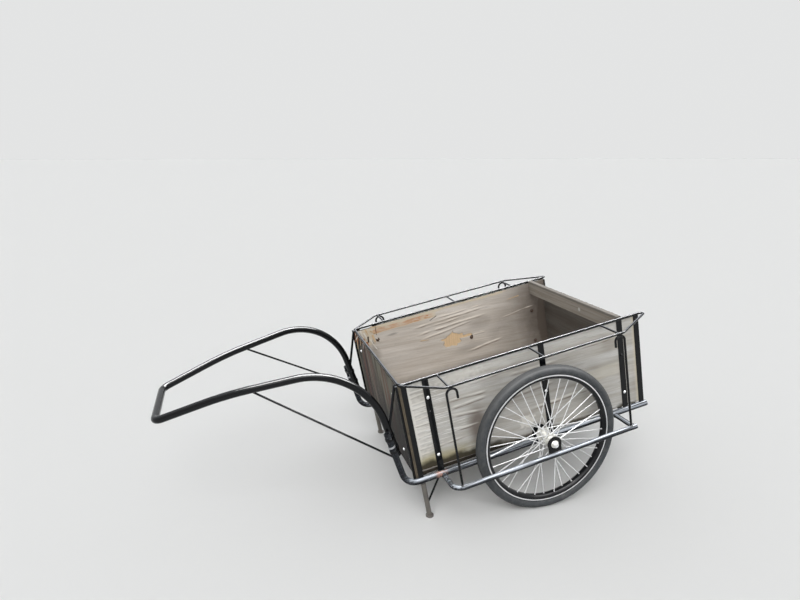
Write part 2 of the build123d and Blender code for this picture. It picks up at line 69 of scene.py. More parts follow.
def bed_matrix():
    """The matrix from bed-frame millimetres to the row frame, from the record's joint and mount."""
    mount = next(m for m in frame["record"]["mounts"] if m["name"] == "bed_floor")
    up = Vector(mount["axis"]).normalized()
    axle = Vector(frame["joints"][0]["pos_m"])
    across = Vector((0, 1, 0))
    ahead = across.cross(up)
    turn = Matrix((ahead, across, up)).transposed().to_4x4()
    return Matrix.Translation((axle.x, 0, axle.z)) @ turn @ Matrix.Scale(MILLIMETRE, 4)


BED_TO_ROW = bed_matrix()
ROW_TO_BED = BED_TO_ROW.inverted()


def bed_box(node):
    """The lowest and highest corner of a CAD node, in bed-frame millimetres."""
    points = [ROW_TO_BED @ v.co for v in frame["nodes"][node].data.vertices]
    low = Vector(map(min, zip(*points)))
    high = Vector(map(max, zip(*points)))
    return low, high


# Facts of the frame that pieces sit on, read from the CAD nodes, and places given as numbers
rail_low, rail_high = bed_box("chassis_tube_left")
RAIL_RADIUS = (rail_high.y - rail_low.y) / 2
SIDE_Y = (rail_high.y + rail_low.y) / 2
RAIL_Z = rail_low.z + RAIL_RADIUS
guard_low, guard_high = bed_box("guard_tube_left")
GUARD_RADIUS = (guard_high.z - guard_low.z) / 2
GUARD_Y = guard_high.y - GUARD_RADIUS
GUARD_Z = (guard_high.z + guard_low.z) / 2
rod_low, rod_high = bed_box("rim_rod")
TOP_ROD_RADIUS = (rod_high.z - rod_low.z) / 2
TOP_Z = (rod_high.z + rod_low.z) / 2
tyre_low, tyre_high = bed_box("tyre_left")
WHEEL_RADIUS = (tyre_high.x - tyre_low.x) / 2
WHEEL_Y = (tyre_high.y + tyre_low.y) / 2
TYRE_HALF_WIDTH = (tyre_high.y - tyre_low.y) / 2
rim_low, rim_high = bed_box("wheel_rim_left")
RIM_RADIUS = (rim_high.x - rim_low.x) / 2
RIM_HALF_WIDTH = (rim_high.y - rim_low.y) / 2
hub_low, hub_high = bed_box("wheel_hub_left")
FLANGE_RADIUS = (hub_high.x - hub_low.x) / 2
HUB_HALF_LENGTH = (hub_high.y - hub_low.y) / 2
board_low, board_high = bed_box("side_board_left")
BOARD_INNER_Y = board_low.y
POST_OUTER_Y = bed_box("side_posts_left")[1].y
POST_WIDTH = 28.0
POST_XS = (472.0, -59.0, -450.0)
STRUT_XS = (418.0, 0.0, -352.0)
HOOK_XS = (432.0, -376.0)
GUARD_END_XS = (466.0, -388.0)
LEG_X = 562.0
BRACKET_HALF_WIDTH = 30.0

# The camera that took the reference view, placed from the middle of the axle in row axes
CAMERA_FROM_AXLE = Vector((1.2705, 2.495, 1.179))
CAMERA_LOOKS_ALONG = Vector((-0.2800, -0.9296, -0.2397))
CAMERA_LENS = 26.112
CAMERA_SENSOR = 36.0


class CartSizes(bpy.types.PropertyGroup):
    """Sizes of the pieces that are added to the frame, in millimetres."""

    board_cell: bpy.props.FloatProperty(
        name="Board Cell", description="Grid size of the boards' relief", default=4.0, min=2.0)
    spoke_radius: bpy.props.FloatProperty(
        name="Spoke Radius", description="Radius of a spoke wire", default=1.9, min=0.5)
    nipple_length: bpy.props.FloatProperty(
        name="Nipple Length", description="Length of a spoke nipple", default=14.0, min=4.0)
    tread_depth: bpy.props.FloatProperty(
        name="Tread Depth", description="Depth of the grooves between tread ribs", default=1.6)
    bolt_radius: bpy.props.FloatProperty(
        name="Bolt Head Radius", description="Radius of a coach bolt's head", default=5.8)
    weld_radius: bpy.props.FloatProperty(
        name="Weld Bead Radius", description="Radius of the weld beads", default=2.2)


class CartColours(bpy.types.PropertyGroup):
    """Colours of the cart's finishes, as linear colour."""

    paint: bpy.props.FloatVectorProperty(
        name="Frame Paint", description="Gloss black paint of the tubes",
        subtype="COLOR", size=3, default=(0.0045, 0.0050, 0.0058))
    worn_steel: bpy.props.FloatVectorProperty(
        name="Worn Steel", description="Rubbed steel of the lower tubes",
        subtype="COLOR", size=3, default=(0.32, 0.345, 0.38))
    zinc: bpy.props.FloatVectorProperty(
        name="Zinc", description="Galvanised bolts, hubs and spokes",
        subtype="COLOR", size=3, default=(0.84, 0.85, 0.86))
    rubber: bpy.props.FloatVectorProperty(
        name="Rubber", description="Dusty rubber of the tyres",
        subtype="COLOR", size=3, default=(0.043, 0.047, 0.051))
    ply_outside: bpy.props.FloatVectorProperty(
        name="Plywood Outside", description="Weathered veneer on the outside",
        subtype="COLOR", size=3, default=(0.555, 0.545, 0.52))
    ply_inside: bpy.props.FloatVectorProperty(
        name="Plywood Inside", description="Grey-brown veneer in the box",
        subtype="COLOR", size=3, default=(0.73, 0.675, 0.615))
    fresh_veneer: bpy.props.FloatVectorProperty(
        name="Fresh Veneer", description="Ply that shows where the face veneer has peeled",
        subtype="COLOR", size=3, default=(0.82, 0.60, 0.37))
    plank: bpy.props.FloatVectorProperty(
        name="Plank", description="Grey weathered plank across the box",
        subtype="COLOR", size=3, default=(0.34, 0.31, 0.27))
    floor: bpy.props.FloatVectorProperty(
        name="Studio Floor", description="Pale floor and background",
        subtype="COLOR", size=3, default=(0.80, 0.80, 0.79))


class Finish:
    """One material: adds its shader nodes and links them. Lengths are bed-frame millimetres."""

    def __init__(self, name):
        self.material = bpy.data.materials.new(name)
        self.material.use_nodes = True
        self.nodes = self.material.node_tree.nodes
        self.links = self.material.node_tree.links
        self.nodes.clear()
        coordinates = self.add("TexCoord")
        turn = BED_TO_ROW.to_euler()
        mapping = self.add("Mapping", {"Vector": coordinates.outputs["Object"]},
                           vector_type="TEXTURE")
        mapping.inputs["Location"].default_value = BED_TO_ROW.translation
        mapping.inputs["Rotation"].default_value = turn
        mapping.inputs["Scale"].default_value = (MILLIMETRE,) * 3
        self.place = mapping.outputs[0]

    def add(self, kind, feeds=None, **settings):
        """A shader node with its settings and what feeds its sockets."""
        node = self.nodes.new("ShaderNode" + kind)
        for name, value in settings.items():
            setattr(node, name, value)
        for socket, value in (feeds or {}).items():
            self.feed(node.inputs[socket], value)
        return node

    def feed(self, socket, value):
        """Link a socket, or set its value."""
        if isinstance(value, bpy.types.NodeSocket):
            self.links.new(value, socket)
        elif socket.type == "RGBA" and len(value) == 3:
            socket.default_value = (*value, 1)
        else:
            socket.default_value = value

    def maths(self, operation, first, second=0.0, clamp=False):
        """One step of arithmetic."""
        node = self.add("Math", {0: first, 1: second}, operation=operation, use_clamp=clamp)
        return node.outputs[0]

    def times(self, first, second, clamp=False):
        """A product."""
        return self.maths("MULTIPLY", first, second, clamp)

    def plus(self, first, second, clamp=False):
        """A sum."""
        return self.maths("ADD", first, second, clamp)

    def minus(self, first, second):
        """A difference."""
        return self.maths("SUBTRACT", first, second)

    def part(self, axis):
        """One coordinate of the place: X, Y or Z."""
        return self.add("SeparateXYZ", {0: self.place}).outputs[axis]

    def lean(self, angle):
        """Turn the place about the Y axis, so that grain rises towards the rear."""
        turned = self.add("VectorRotate", {"Vector": self.place, "Angle": radians(angle)},
                          rotation_type="Y_AXIS")
        self.place = turned.outputs[0]

    def upward(self, low, high, ragged):
        """0 where a surface faces sideways or down, 1 where it faces up, with a ragged border."""
        normal = self.add("TexCoord").outputs["Normal"]
        facing = self.add("SeparateXYZ", {0: normal}).outputs[2]
        uneven = self.spread(self.noise(50, 5, 0.6, (8, 8, 8)), -ragged, ragged)
        return self.rise(self.plus(facing, uneven), low, high)

    def stretched(self, lengths, shift=(0, 0, 0)):
        """The place measured in lengths along X, Y and Z, and shifted."""
        scaled = self.add("VectorMath", {0: self.place, 1: lengths}, operation="DIVIDE")
        return self.add("VectorMath", {0: scaled.outputs[0], 1: shift}).outputs[0]

    def streaks(self, along, length, width, detail=4.0, shift=(0, 0, 0), roughness=0.6):
        """Noise drawn out along one axis."""
        lengths = [width] * 3
        lengths[along] = length
        return self.noise(lengths, detail, roughness, shift)

    def noise(self, lengths, detail=3.0, roughness=0.55, shift=(0, 0, 0)):
        """Soft noise from 0 to 1 whose patches have these lengths, or one length every way."""
        if isinstance(lengths, (int, float)):
            lengths = (lengths,) * 3
        node = self.add("TexNoise", {"Vector": self.stretched(lengths, shift), "Scale": 1.0,
                                     "Detail": detail, "Roughness": roughness})
        return node.outputs[0]

    def cells(self, length):
        """Distance to the nearest of scattered points."""
        node = self.add("TexVoronoi", {"Vector": self.stretched((length,) * 3), "Scale": 1.0})
        return node.outputs["Distance"]

    def rise(self, value, low, high):
        """0 below the low value, 1 above the high one, smooth between."""
        node = self.add("MapRange", {0: value, 1: low, 2: high}, interpolation_type="SMOOTHSTEP")
        return node.outputs[0]

    def spread(self, value, low, high):
        """A value from 0 to 1 spread between two values."""
        node = self.add("MapRange", {0: value, 3: low, 4: high})
        return node.outputs[0]

    def near(self, centre, inner, outer):
        """1 within the inner distance of a place, 0 beyond the outer one."""
        away = self.add("VectorMath", {0: self.place, 1: centre}, operation="DISTANCE")
        return self.minus(1.0, self.rise(away.outputs["Value"], inner, outer))

    def blend(self, factor, first, second):
        """A mix of two colours."""
        node = self.add("Mix", data_type="RGBA")
        for socket, value in ((0, factor), (6, first), (7, second)):
            self.feed(node.inputs[socket], value)
        return node.outputs[2]

    def over(self, colour, tone, mask, share):
        """A colour with a share of a tone laid over it where a mask is."""
        return self.blend(self.times(mask, share), colour, tone)

    def attribute(self, name):
        """A value that the mesh carries."""
        return self.add("Attribute", attribute_name=name).outputs["Fac"]

    def shade(self, colour, roughness, metallic, height, depth, specular):
        """Close the material with bumps of a depth in millimetres and its surface shader."""
        bump = self.add("Bump", {"Height": height, "Distance": depth * MILLIMETRE,
                                 "Strength": 1.0})
        surface = self.add("BsdfPrincipled", {
            "Base Color": colour, "Roughness": roughness, "Metallic": metallic,
            "Normal": bump.outputs[0], "Specular IOR Level": specular})
        self.add("OutputMaterial", {"Surface": surface.outputs[0]})
        return self.material


def chosen(name):
    """One of the scene's colours for the cart."""
    return tuple(getattr(bpy.context.scene.cart_colours, name))


def dimmed(colour, share):
    """A colour made darker or brighter by a share."""
    return tuple(min(1.0, part * share) for part in colour)


def tinted(colour, tint):
    """A colour multiplied by a tint."""
    return tuple(a * b for a, b in zip(colour, tint))


# Pale colour of the painted tops: chalky dust and painted highlight.
CHALK_AND_HIGHLIGHT = (0.42, 0.44, 0.48)
RUST = (0.19, 0.075, 0.035)
PALE_RUST = (0.42, 0.25, 0.20)
BARE_METAL = (0.42, 0.42, 0.43)


def frame_paint(name="frame_paint", low=0.45, high=1.1, share=0.07):
    """Gloss black paint, brushed on, pale along the tops with dust and a painted highlight, chipped and rusty."""
    f = Finish(name)
    # Pale top on upward faces: chalky dust and, where the share is large, a painted highlight.
    chalk_and_highlight = f.times(f.upward(low, high, 0.12), share)
    scuff = f.rise(f.noise(9, 6, 0.7), 0.66, 0.72)
    scuff = f.times(scuff, f.rise(f.noise(70, 2, shift=(7, 0, 0)), 0.5, 0.62))
    rusty = f.rise(f.noise(16, 5, 0.7, shift=(0, 9, 0)), 0.70, 0.77)
    colour = f.blend(chalk_and_highlight, chosen("paint"), CHALK_AND_HIGHLIGHT)
    colour = f.blend(rusty, colour, RUST)
    colour = f.blend(scuff, colour, BARE_METAL)
    rough = f.spread(f.noise(25, 4), 0.07, 0.18)
    rough = f.plus(rough, f.times(rusty, 0.5), True)
    brushed = f.noise(3, 3)
    runs = f.noise(28, 2)
    height = f.plus(f.times(brushed, 0.25), runs)
    height = f.minus(height, f.times(scuff, 0.4))
    return f.shade(colour, rough, f.times(scuff, 0.7), height, 0.2, 0.24)


def worn_steel(name, rusty_places=(), along=0):
    """Tube whose black paint has rubbed to blue-grey steel along the top, in long streaks, with painted shade
    below.
    """
    f = Finish(name)
    worn = chosen("worn_steel")
    top = f.upward(-0.20, 0.50, 0.06)
    rubbed = f.blend(f.streaks(along, 260, 4.5, 6, roughness=0.7), dimmed(worn, 0.65),
                     dimmed(worn, 1.7))
    painted = f.rise(f.streaks(along, 330, 9, 5, (3, 1, 0), 0.6), 0.585, 0.445)
    painted = f.maths("MAXIMUM", painted, f.rise(f.part(2), -22.0, 14.0))
    colour = f.blend(f.times(painted, 0.95), rubbed, (0.014, 0.016, 0.020))
    # Sides and underside are drawn near black: partly paint left where nothing rubs, partly painted shade.
    colour = f.blend(top, (0.010, 0.011, 0.014), colour)
    scratch = f.rise(f.streaks(along, 60, 1.6, 3, (0, 2, 6)), 0.61, 0.68)
    colour = f.over(colour, dimmed(worn, 1.6), scratch, 0.5)
    dirt = f.rise(f.noise((60, 14, 14), 7, 0.7, shift=(0, 4, 2)), 0.62, 0.76)
    colour = f.over(colour, (0.085, 0.068, 0.052), dirt, 0.6)
    freckle = f.rise(f.noise(6, 4, 0.6), 0.68, 0.73)
    colour = f.over(colour, RUST, freckle, 0.7)
    for place, reach in rusty_places:
        patch = f.times(f.near(place, reach * 0.3, reach), f.rise(f.noise(9, 5, 0.6), 0.36, 0.5))
        colour = f.blend(patch, colour, PALE_RUST)
    rough = f.spread(f.noise((60, 10, 10), 5), 0.42, 0.62)
    rough = f.plus(rough, f.times(dirt, 0.25), True)
    bare = f.times(top, f.minus(1.0, painted))
    metal = f.times(f.times(bare, 0.12), f.minus(1.0, dirt))
    height = f.plus(f.noise((9, 5, 5), 4, 0.6), f.times(painted, 0.5))
    return f.shade(colour, rough, metal, height, 0.2, 0.14)


def dull_steel():
    """Legs whose zinc has gone brown-grey, darker in blotches, with specks of rust."""
    f = Finish("dull_steel")
    clouds = f.noise((30, 30, 70), 6, 0.65)
    colour = f.blend(clouds, (0.075, 0.068, 0.060), (0.205, 0.19, 0.17))
    specks = f.rise(f.noise(5, 5, 0.65, shift=(3, 1, 0)), 0.58, 0.70)
    colour = f.over(colour, (0.075, 0.046, 0.030), specks, 0.6)
    rough = f.spread(clouds, 0.42, 0.66)
    return f.shade(colour, rough, 0.2, f.noise(4, 4), 0.2, 0.4)


def zinc_plate(name="zinc_plate", shine=0.3, dirt_share=0.55, metal=1.0, tint=(1, 1, 1)):
    """Zinc-plated steel with faint spangle, dull white bloom and dirt."""
    zinc = tinted(chosen("zinc"), tint)
    f = Finish(name)
    spangle = f.cells(7)
    colour = f.blend(spangle, dimmed(zinc, 0.82), dimmed(zinc, 1.15))
    bloom = f.rise(f.noise(14, 5, 0.6), 0.5, 0.68)
    colour = f.over(colour, dimmed(zinc, 0.74), bloom, 0.4)
    dirt = f.rise(f.noise(22, 6, 0.7, shift=(5, 0, 3)), 0.56, 0.74)
    colour = f.over(colour, (0.14, 0.11, 0.08), dirt, dirt_share)
    rough = f.spread(f.noise(10, 4), shine, shine + 0.22)
    rough = f.plus(rough, f.times(bloom, 0.18), True)
    bare = f.spread(dirt, metal, 0.2 * metal)
    return f.shade(colour, rough, bare, f.noise(3, 3), 0.12, 0.5)


def rusty_zinc():
    """Old nuts: zinc gone dull and brown."""
    f = Finish("rusty_zinc")
    patches = f.rise(f.noise(6, 5, 0.65), 0.4, 0.6)
    colour = f.blend(patches, (0.075, 0.062, 0.052), (0.105, 0.048, 0.026))
    return f.shade(colour, f.spread(patches, 0.5, 0.8), 0.2, patches, 0.15, 0.5)


def wheel_distance(f):
    """Distance from the axle line: the place without its Y part."""
    flat = f.add("CombineXYZ", {0: f.part(0), 2: f.part(2)})
    return f.add("VectorMath", {0: flat.outputs[0]}, operation="LENGTH").outputs["Value"]


def rim_paint():
    """Black paint on the rim, rubbed to bright metal round the lip, with a little dust."""
    f = Finish("rim_paint")
    away = wheel_distance(f)
    ragged = f.plus(away, f.spread(f.noise(12, 4), -1.0, 1.0))
    lip = f.rise(ragged, RIM_RADIUS - 6.0, RIM_RADIUS - 4.6)
    dust = f.times(f.rise(f.noise(50, 6), 0.45, 0.7), 0.08)
    colour = f.blend(dust, (0.006, 0.0065, 0.008), (0.13, 0.12, 0.11))
    colour = f.blend(lip, colour, (0.80, 0.80, 0.81))
    rough = f.spread(f.noise(20, 4), 0.26, 0.42)
    metal = f.times(lip, 0.4)
    return f.shade(colour, rough, metal, f.noise(4, 3), 0.15, 0.25)


def tyre_rubber():
    """Dusty grey-black rubber with fine scuffs round the tyre and pale dust in the grooves."""
    rubber = chosen("rubber")
    f = Finish("tyre_rubber")
    away = wheel_distance(f)
    tread = f.rise(away, WHEEL_RADIUS - 12, WHEEL_RADIUS - 4)
    patches = f.noise((45, 20, 45), 6, 0.6)
    colour = f.blend(patches, dimmed(rubber, 0.75), dimmed(rubber, 1.5))
    dust = f.times(f.rise(f.noise((26, 12, 26), 7, 0.65, shift=(2, 2, 2)), 0.4, 0.7), 0.25)
    colour = f.blend(dust, colour, (0.155, 0.152, 0.142))
    colour = f.over(colour, (0.070, 0.071, 0.071), tread, 0.45)
    rings = f.add("TexNoise", {"Vector": f.add("CombineXYZ", {0: away}).outputs[0], "Scale": 0.9,
                               "Detail": 2.0}).outputs[0]
    height = f.plus(f.times(rings, 0.5), f.noise(2.5, 4, 0.6))
    return f.shade(colour, f.spread(patches, 0.62, 0.85), 0.0, height, 0.5, 0.25)


def weathered_ply(name, base, along=0, seed=0.0, contrast=1.0, lean=0.0, torn=0.0, figure=0.3,
                  sill=0.0, smudge=(0.26, 0.23, 0.21), stains=()):
    """Weathered plywood face: three widths of grain, torn fibres, checks, stains, peeling."""
    fresh = chosen("fresh_veneer")
    f = Finish(name)
    drop = f.times(f.minus(board_high.x, f.part(0)), sill)
    above_edge = f.plus(f.part(2), drop)
    ahead = f.part(0)
    torn_share = f.spread(f.rise(ahead, 120.0, 460.0), 0.15, 1.0)
    f.lean(lean)
    across = f.part(2 if along != 2 else 1)
    wander = f.streaks(along, 700, 80, 3, (seed, 0, seed), 0.5)
    contour = f.plus(f.maths("DIVIDE", across, 38.0), f.times(wander, 11.0))
    rings = f.maths("POWER", f.maths("ABSOLUTE", f.maths("SINE", contour)), 5.0)
    clouds = f.streaks(along, 420, 60, 5, (seed, seed, 0))
    broad = f.rise(f.streaks(along, 520, 24, 5, (0, seed, 1)), 0.42, 0.62)
    middle = f.rise(f.streaks(along, 260, 9, 5, (1, seed, 2)), 0.45, 0.63)
    fine = f.streaks(along, 110, 1.6, 4, (2, seed, 3), 0.65)
    checks = f.rise(f.streaks(along, 90, 1.8, 3, (3, 0, seed), 0.7), 0.62, 0.70)
    colour = f.blend(clouds, dimmed(base, 1.0 - 0.30 * contrast),
                     dimmed(base, 1.0 + 0.26 * contrast))
    colour = f.over(colour, tinted(base, (0.72, 0.68, 0.62)), broad, 0.42 * contrast)
    colour = f.over(colour, tinted(base, (0.66, 0.61, 0.55)), middle, 0.40 * contrast)
    colour = f.over(colour, tinted(base, (0.60, 0.54, 0.46)), rings, figure * contrast)
    colour = f.over(colour, dimmed(base, 0.6), f.rise(fine, 0.5, 0.68), 0.35 * contrast)
    colour = f.over(colour, dimmed(base, 0.35), checks, 0.6 * contrast)
    speck = f.rise(f.noise(3.5, 3, 0.6, shift=(seed, 1, 1)), 0.66, 0.74)
    colour = f.over(colour, dimmed(base, 0.45), speck, 0.35)
    fibres = f.rise(f.streaks(along, 110, 3.8, 4, (seed, 5, 0), 0.6), 0.52, 0.62)
    bare = f.rise(f.noise((190, 190, 90), 3, shift=(seed, 3, 1)), 0.36, 0.58)
    bare = f.times(bare, torn_share)
    colour = f.over(colour, (0.74, 0.73, 0.70), f.times(fibres, bare), torn)
    # Darker patches laid on the board at the listed marks.
    dirt = f.attribute("dirt")
    blotch = f.spread(f.noise(40, 5), 0.75, 1.1)
    colour = f.blend(f.times(dirt, blotch, True), colour, tinted(base, smudge))
    height = f.plus(f.times(fine, 0.8), f.times(fibres, 0.3))
    height = f.minus(height, f.times(checks, 0.9))
    # Painted light on the upper side of each ridge and on pale scuffs, then painted shade below each ridge.
    crease = f.attribute("crease")
    colour = f.over(colour, tinted(base, (1.30, 1.28, 1.24)), f.rise(crease, 0.08, 0.8), 0.75)
    shadow = f.rise(f.times(crease, -1.0), 0.08, 0.8)
    colour = f.over(colour, tinted(base, (0.34, 0.28, 0.24)), shadow, 0.8)
    for low, high, stain_colour, strength, reach in stains:
        level = f.plus(above_edge, f.spread(f.noise(60, 5), -20.0, 20.0))
        band = f.minus(1.0, f.rise(level, low, high))
        band = f.times(band, f.rise(ahead, reach, reach + 160.0))
        colour = f.over(colour, stain_colour, band, strength)
    down = f.streaks(2, 60, 5, 5, (seed, 2, 2))
    tan = f.attribute("tan")
    pale_tan = f.times(f.rise(tan, 0.05, 0.45), f.spread(down, 0.45, 1.0))
    colour = f.blend(pale_tan, colour, tinted(base, (1.0, 0.93, 0.76)))
    orange = f.times(f.rise(tan, 0.45, 0.95), f.spread(f.rise(clouds, 0.3, 0.5), 0.5, 1.0))
    uneven = f.rise(f.noise((55, 55, 16), 5, 0.62, shift=(seed, 7, 2)), 0.40, 0.60)
    orange = f.times(orange, f.spread(uneven, 0.15, 1.0))
    colour = f.blend(orange, colour, tinted(fresh, (0.70, 0.43, 0.32)))
    ragged = f.plus(f.attribute("peel"), f.spread(f.noise(9, 4), -0.14, 0.14))
    peeled = f.rise(ragged, 0.46, 0.52)
    fresh_lines = f.streaks(2, 70, 4, 5, (seed, 0, 0))
    bare_ply = f.blend(fresh_lines, dimmed(fresh, 0.72), dimmed(fresh, 1.2))
    colour = f.blend(peeled, colour, bare_ply)
    rim_line = f.times(f.rise(ragged, 0.38, 0.47), f.minus(1.0, peeled))
    colour = f.over(colour, dimmed(base, 0.35), rim_line, 0.6)
    height = f.minus(height, f.times(peeled, 1.6))
    knots = f.rise(f.attribute("knot"), 0.25, 0.75)
    colour = f.blend(knots, colour, (0.035, 0.025, 0.02))
    return f.shade(colour, f.spread(fine, 0.66, 0.9), 0.0, height, 0.55, 0.12)


def streaked_ply():
    """Outside of the front board: grey-green, red-brown and black streaks on dirty plywood."""
    f = Finish("front_ply_outside")
    # Darker towards the bottom, lighter towards the top.
    high = f.rise(f.part(2), 120.0, 380.0)
    colour = f.blend(high, (0.050, 0.041, 0.035), (0.092, 0.080, 0.062))
    streaks = (
        # width in millimetres, detail, place in the noise, from, to, strength, colour
        (120, 2, 1.0, 0.48, 0.56, 0.90, (0.150, 0.145, 0.108)),
        (90, 2, 4.0, 0.50, 0.57, 0.80, (0.125, 0.052, 0.040)),
        (55, 3, 7.0, 0.53, 0.60, 0.85, (0.020, 0.016, 0.016)),
        (14, 3, 5.0, 0.56, 0.64, 0.60, (0.185, 0.165, 0.135)),
        (7, 3, 2.0, 0.57, 0.64, 0.85, (0.010, 0.008, 0.008)),
        (4, 3, 9.0, 0.62, 0.68, 0.60, (0.30, 0.28, 0.24)),
    )
    for width, detail, shift, low, full, strength, tone in streaks:
        mask = f.rise(f.streaks(2, 700, width, detail, (shift, shift, 0)), low, full)
        colour = f.over(colour, tone, mask, strength)
    # Darker again towards the bottom.
    low_darkening = f.minus(1.0, f.rise(f.part(2), 20.0, 220.0))
    colour = f.over(colour, (0.020, 0.016, 0.013), low_darkening, 0.55)
    # Darker towards the lower corner on the cart's left.
    left_low_darkening = f.plus(f.times(f.part(1), 0.5), f.times(f.part(2), -0.8))
    left_low_darkening = f.plus(left_low_darkening, f.spread(f.streaks(2, 200, 40, 4, (6, 6, 0)), -60.0, 60.0))
    colour = f.over(colour, (0.014, 0.012, 0.011), f.rise(left_low_darkening, -160.0, -10.0), 0.8)
    ragged = f.plus(f.attribute("peel"), f.spread(f.noise(9, 4), -0.14, 0.14))
    peeled = f.rise(ragged, 0.46, 0.52)
    colour = f.blend(peeled, colour, (0.30, 0.15, 0.075))
    fine = f.streaks(2, 110, 1.6, 4, (2, 3, 3), 0.65)
    height = f.minus(fine, f.times(peeled, 1.4))
    return f.shade(colour, f.spread(fine, 0.55, 0.85), 0.0, height, 0.6, 0.15)


def ply_edge(name="ply_edge", share=1.0):
    """Cut edge of the plywood: thin plies, light and dark by turns, grey with age."""
    f = Finish(name)
    layers = f.maths("SINE", f.times(f.attribute("across"), PLIES * pi))
    dark = f.rise(layers, -0.15, 0.25)
    colour = f.blend(dark, dimmed((0.15, 0.125, 0.088), share),
                     dimmed((0.060, 0.048, 0.034), share))
    grime = f.rise(f.noise(40, 6, 0.65), 0.42, 0.66)
    colour = f.over(colour, dimmed((0.05, 0.042, 0.034), share), grime, 0.7)
    height = f.minus(f.noise(3, 4), f.times(dark, 0.5))
    return f.shade(colour, 0.85, 0.0, height, 0.5, 0.2)


def plank_wood():
    """Weathered softwood plank: lengthwise grain, grey face, dark top and worn arrises."""
    base = chosen("plank")
    f = Finish("plank_wood")
    broad = f.rise(f.streaks(1, 500, 9, 4, (5, 0, 0)), 0.42, 0.64)
    fine = f.streaks(1, 160, 1.8, 5, (0, 5, 0), 0.65)
    colour = f.blend(fine, dimmed(base, 0.70), dimmed(base, 1.28))
    colour = f.over(colour, tinted(base, (0.66, 0.61, 0.55)), broad, 0.5)
    top = f.rise(f.part(2), 396.0, 402.0)
    colour = f.blend(top, colour, f.blend(fine, dimmed(base, 0.34), dimmed(base, 0.72)))
    checks = f.rise(f.noise((1.4, 60, 1.4), 3, 0.6), 0.64, 0.71)
    colour = f.blend(checks, colour, dimmed(base, 0.3))
    worn = f.rise(f.attribute("wear"), 0.2, 0.9)
    worn = f.times(worn, f.spread(f.noise((12, 60, 12), 4), 0.3, 1.2), True)
    colour = f.blend(worn, colour, (0.225, 0.195, 0.155))
    spot = f.near((bed_box("cross_plank")[1].x, 103, 370), 7, 11)
    colour = f.over(colour, (0.60, 0.60, 0.57), spot, 0.8)
    height = f.minus(fine, f.times(checks, 0.8))
    return f.shade(colour, f.spread(fine, 0.7, 0.9), 0.0, height, 0.8, 0.2)


def weld_metal():
    """Weld bead under paint that has burnt and rusted."""
    f = Finish("weld_metal")
    rusty = f.rise(f.noise(8, 5, 0.65), 0.56, 0.68)
    colour = f.blend(rusty, dimmed(chosen("paint"), 1.6), (0.11, 0.06, 0.04))
    rough = f.spread(rusty, 0.34, 0.8)
    return f.shade(colour, rough, 0.0, f.noise(1.5, 3), 0.25, 0.5)


def assign(node_names, material):
    """Give CAD nodes a material."""
    for name in node_names:
        slots = frame["nodes"][name].material_slots
        for slot in slots:
            slot.material = material


def soften(node_names, width=0.7, segments=2):
    """Break the sharp edges of flat CAD bars with modifiers, which leave the CAD mesh alone."""
    for name in node_names:
        node = frame["nodes"][name]
        weld = node.modifiers.new("join", "WELD")
        weld.merge_threshold = 0.02 * MILLIMETRE
        edge = node.modifiers.new("edges", "BEVEL")
        edge.width = width * MILLIMETRE
        edge.segments = segments
        edge.limit_method = "ANGLE"
        edge.angle_limit = radians(40)
        edge.use_clamp_overlap = True
        normals = node.modifiers.new("shading", "WEIGHTED_NORMAL")
        normals.keep_sharp = False


def put(name, data):
    """A new object in the scene."""
    thing = bpy.data.objects.new(name, data)
    bpy.context.scene.collection.objects.link(thing)
    return thing


def make_piece(name, bm, materials, body="cart", replaces=(), sharp=35.0):
    """Close a bmesh drawn in bed millimetres and keep it as a piece that rides on a body."""
    bmesh.ops.recalc_face_normals(bm, faces=bm.faces)
    bmesh.ops.transform(bm, matrix=BED_TO_ROW, verts=bm.verts)
    mesh = bpy.data.meshes.new(name)
    bm.to_mesh(mesh)
    bm.free()
    for material in materials:
        mesh.materials.append(material)
    mesh.polygons.foreach_set("use_smooth", [True] * len(mesh.polygons))
    mesh.set_sharp_from_angle(angle=radians(sharp))
    piece = put(name, mesh)
    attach(piece, body)
    if replaces:
        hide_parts(*replaces)


def both_hands(bm):
    """Add the mirror image on the other side of the cart."""
    copy = bmesh.ops.duplicate(bm, geom=bm.verts[:] + bm.edges[:] + bm.faces[:])
    verts = [g for g in copy["geom"] if isinstance(g, bmesh.types.BMVert)]
    bmesh.ops.scale(bm, vec=(1, -1, 1), verts=verts)


def aligned(centre, axis):
    """A matrix that puts +Z along an axis at a place."""
    turn = Vector(axis).to_track_quat("Z", "Y").to_matrix().to_4x4()
    return Matrix.Translation(centre) @ turn


def spun(bm, profile, centre, axis, steps, closed=True):
    """Spin an outline of (radius, offset along the axis) points about an axis."""
    place = aligned(centre, axis)
    verts = [bm.verts.new(place @ Vector((radius, 0, offset))) for radius, offset in profile]
    following = verts[1:] + verts[:1] if closed else verts[1:]
    edges = [bm.edges.new(pair) for pair in zip(verts, following)]
    bmesh.ops.spin(bm, geom=verts + edges, cent=centre, axis=Vector(axis), angle=2 * pi,
                   steps=steps, use_merge=True)


def swept(bm, path, radii, sides):
    """A round wire through a few points, whose radius may change along it."""
    rings = []
    for i, point in enumerate(path):
        before = path[max(i - 1, 0)]
        after = path[min(i + 1, len(path) - 1)]
        end = i in (0, len(path) - 1)
        ring = bmesh.ops.create_circle(bm, cap_ends=end, segments=sides, radius=radii[i],
                                       matrix=aligned(point, after - before))
        edges = {e for v in ring["verts"] for e in v.link_edges}
        rings.append(sorted(edges, key=lambda e: e.index))
    for first, second in zip(rings, rings[1:]):
        bmesh.ops.bridge_loops(bm, edges=first + second)


# Boards

PLIES = 5


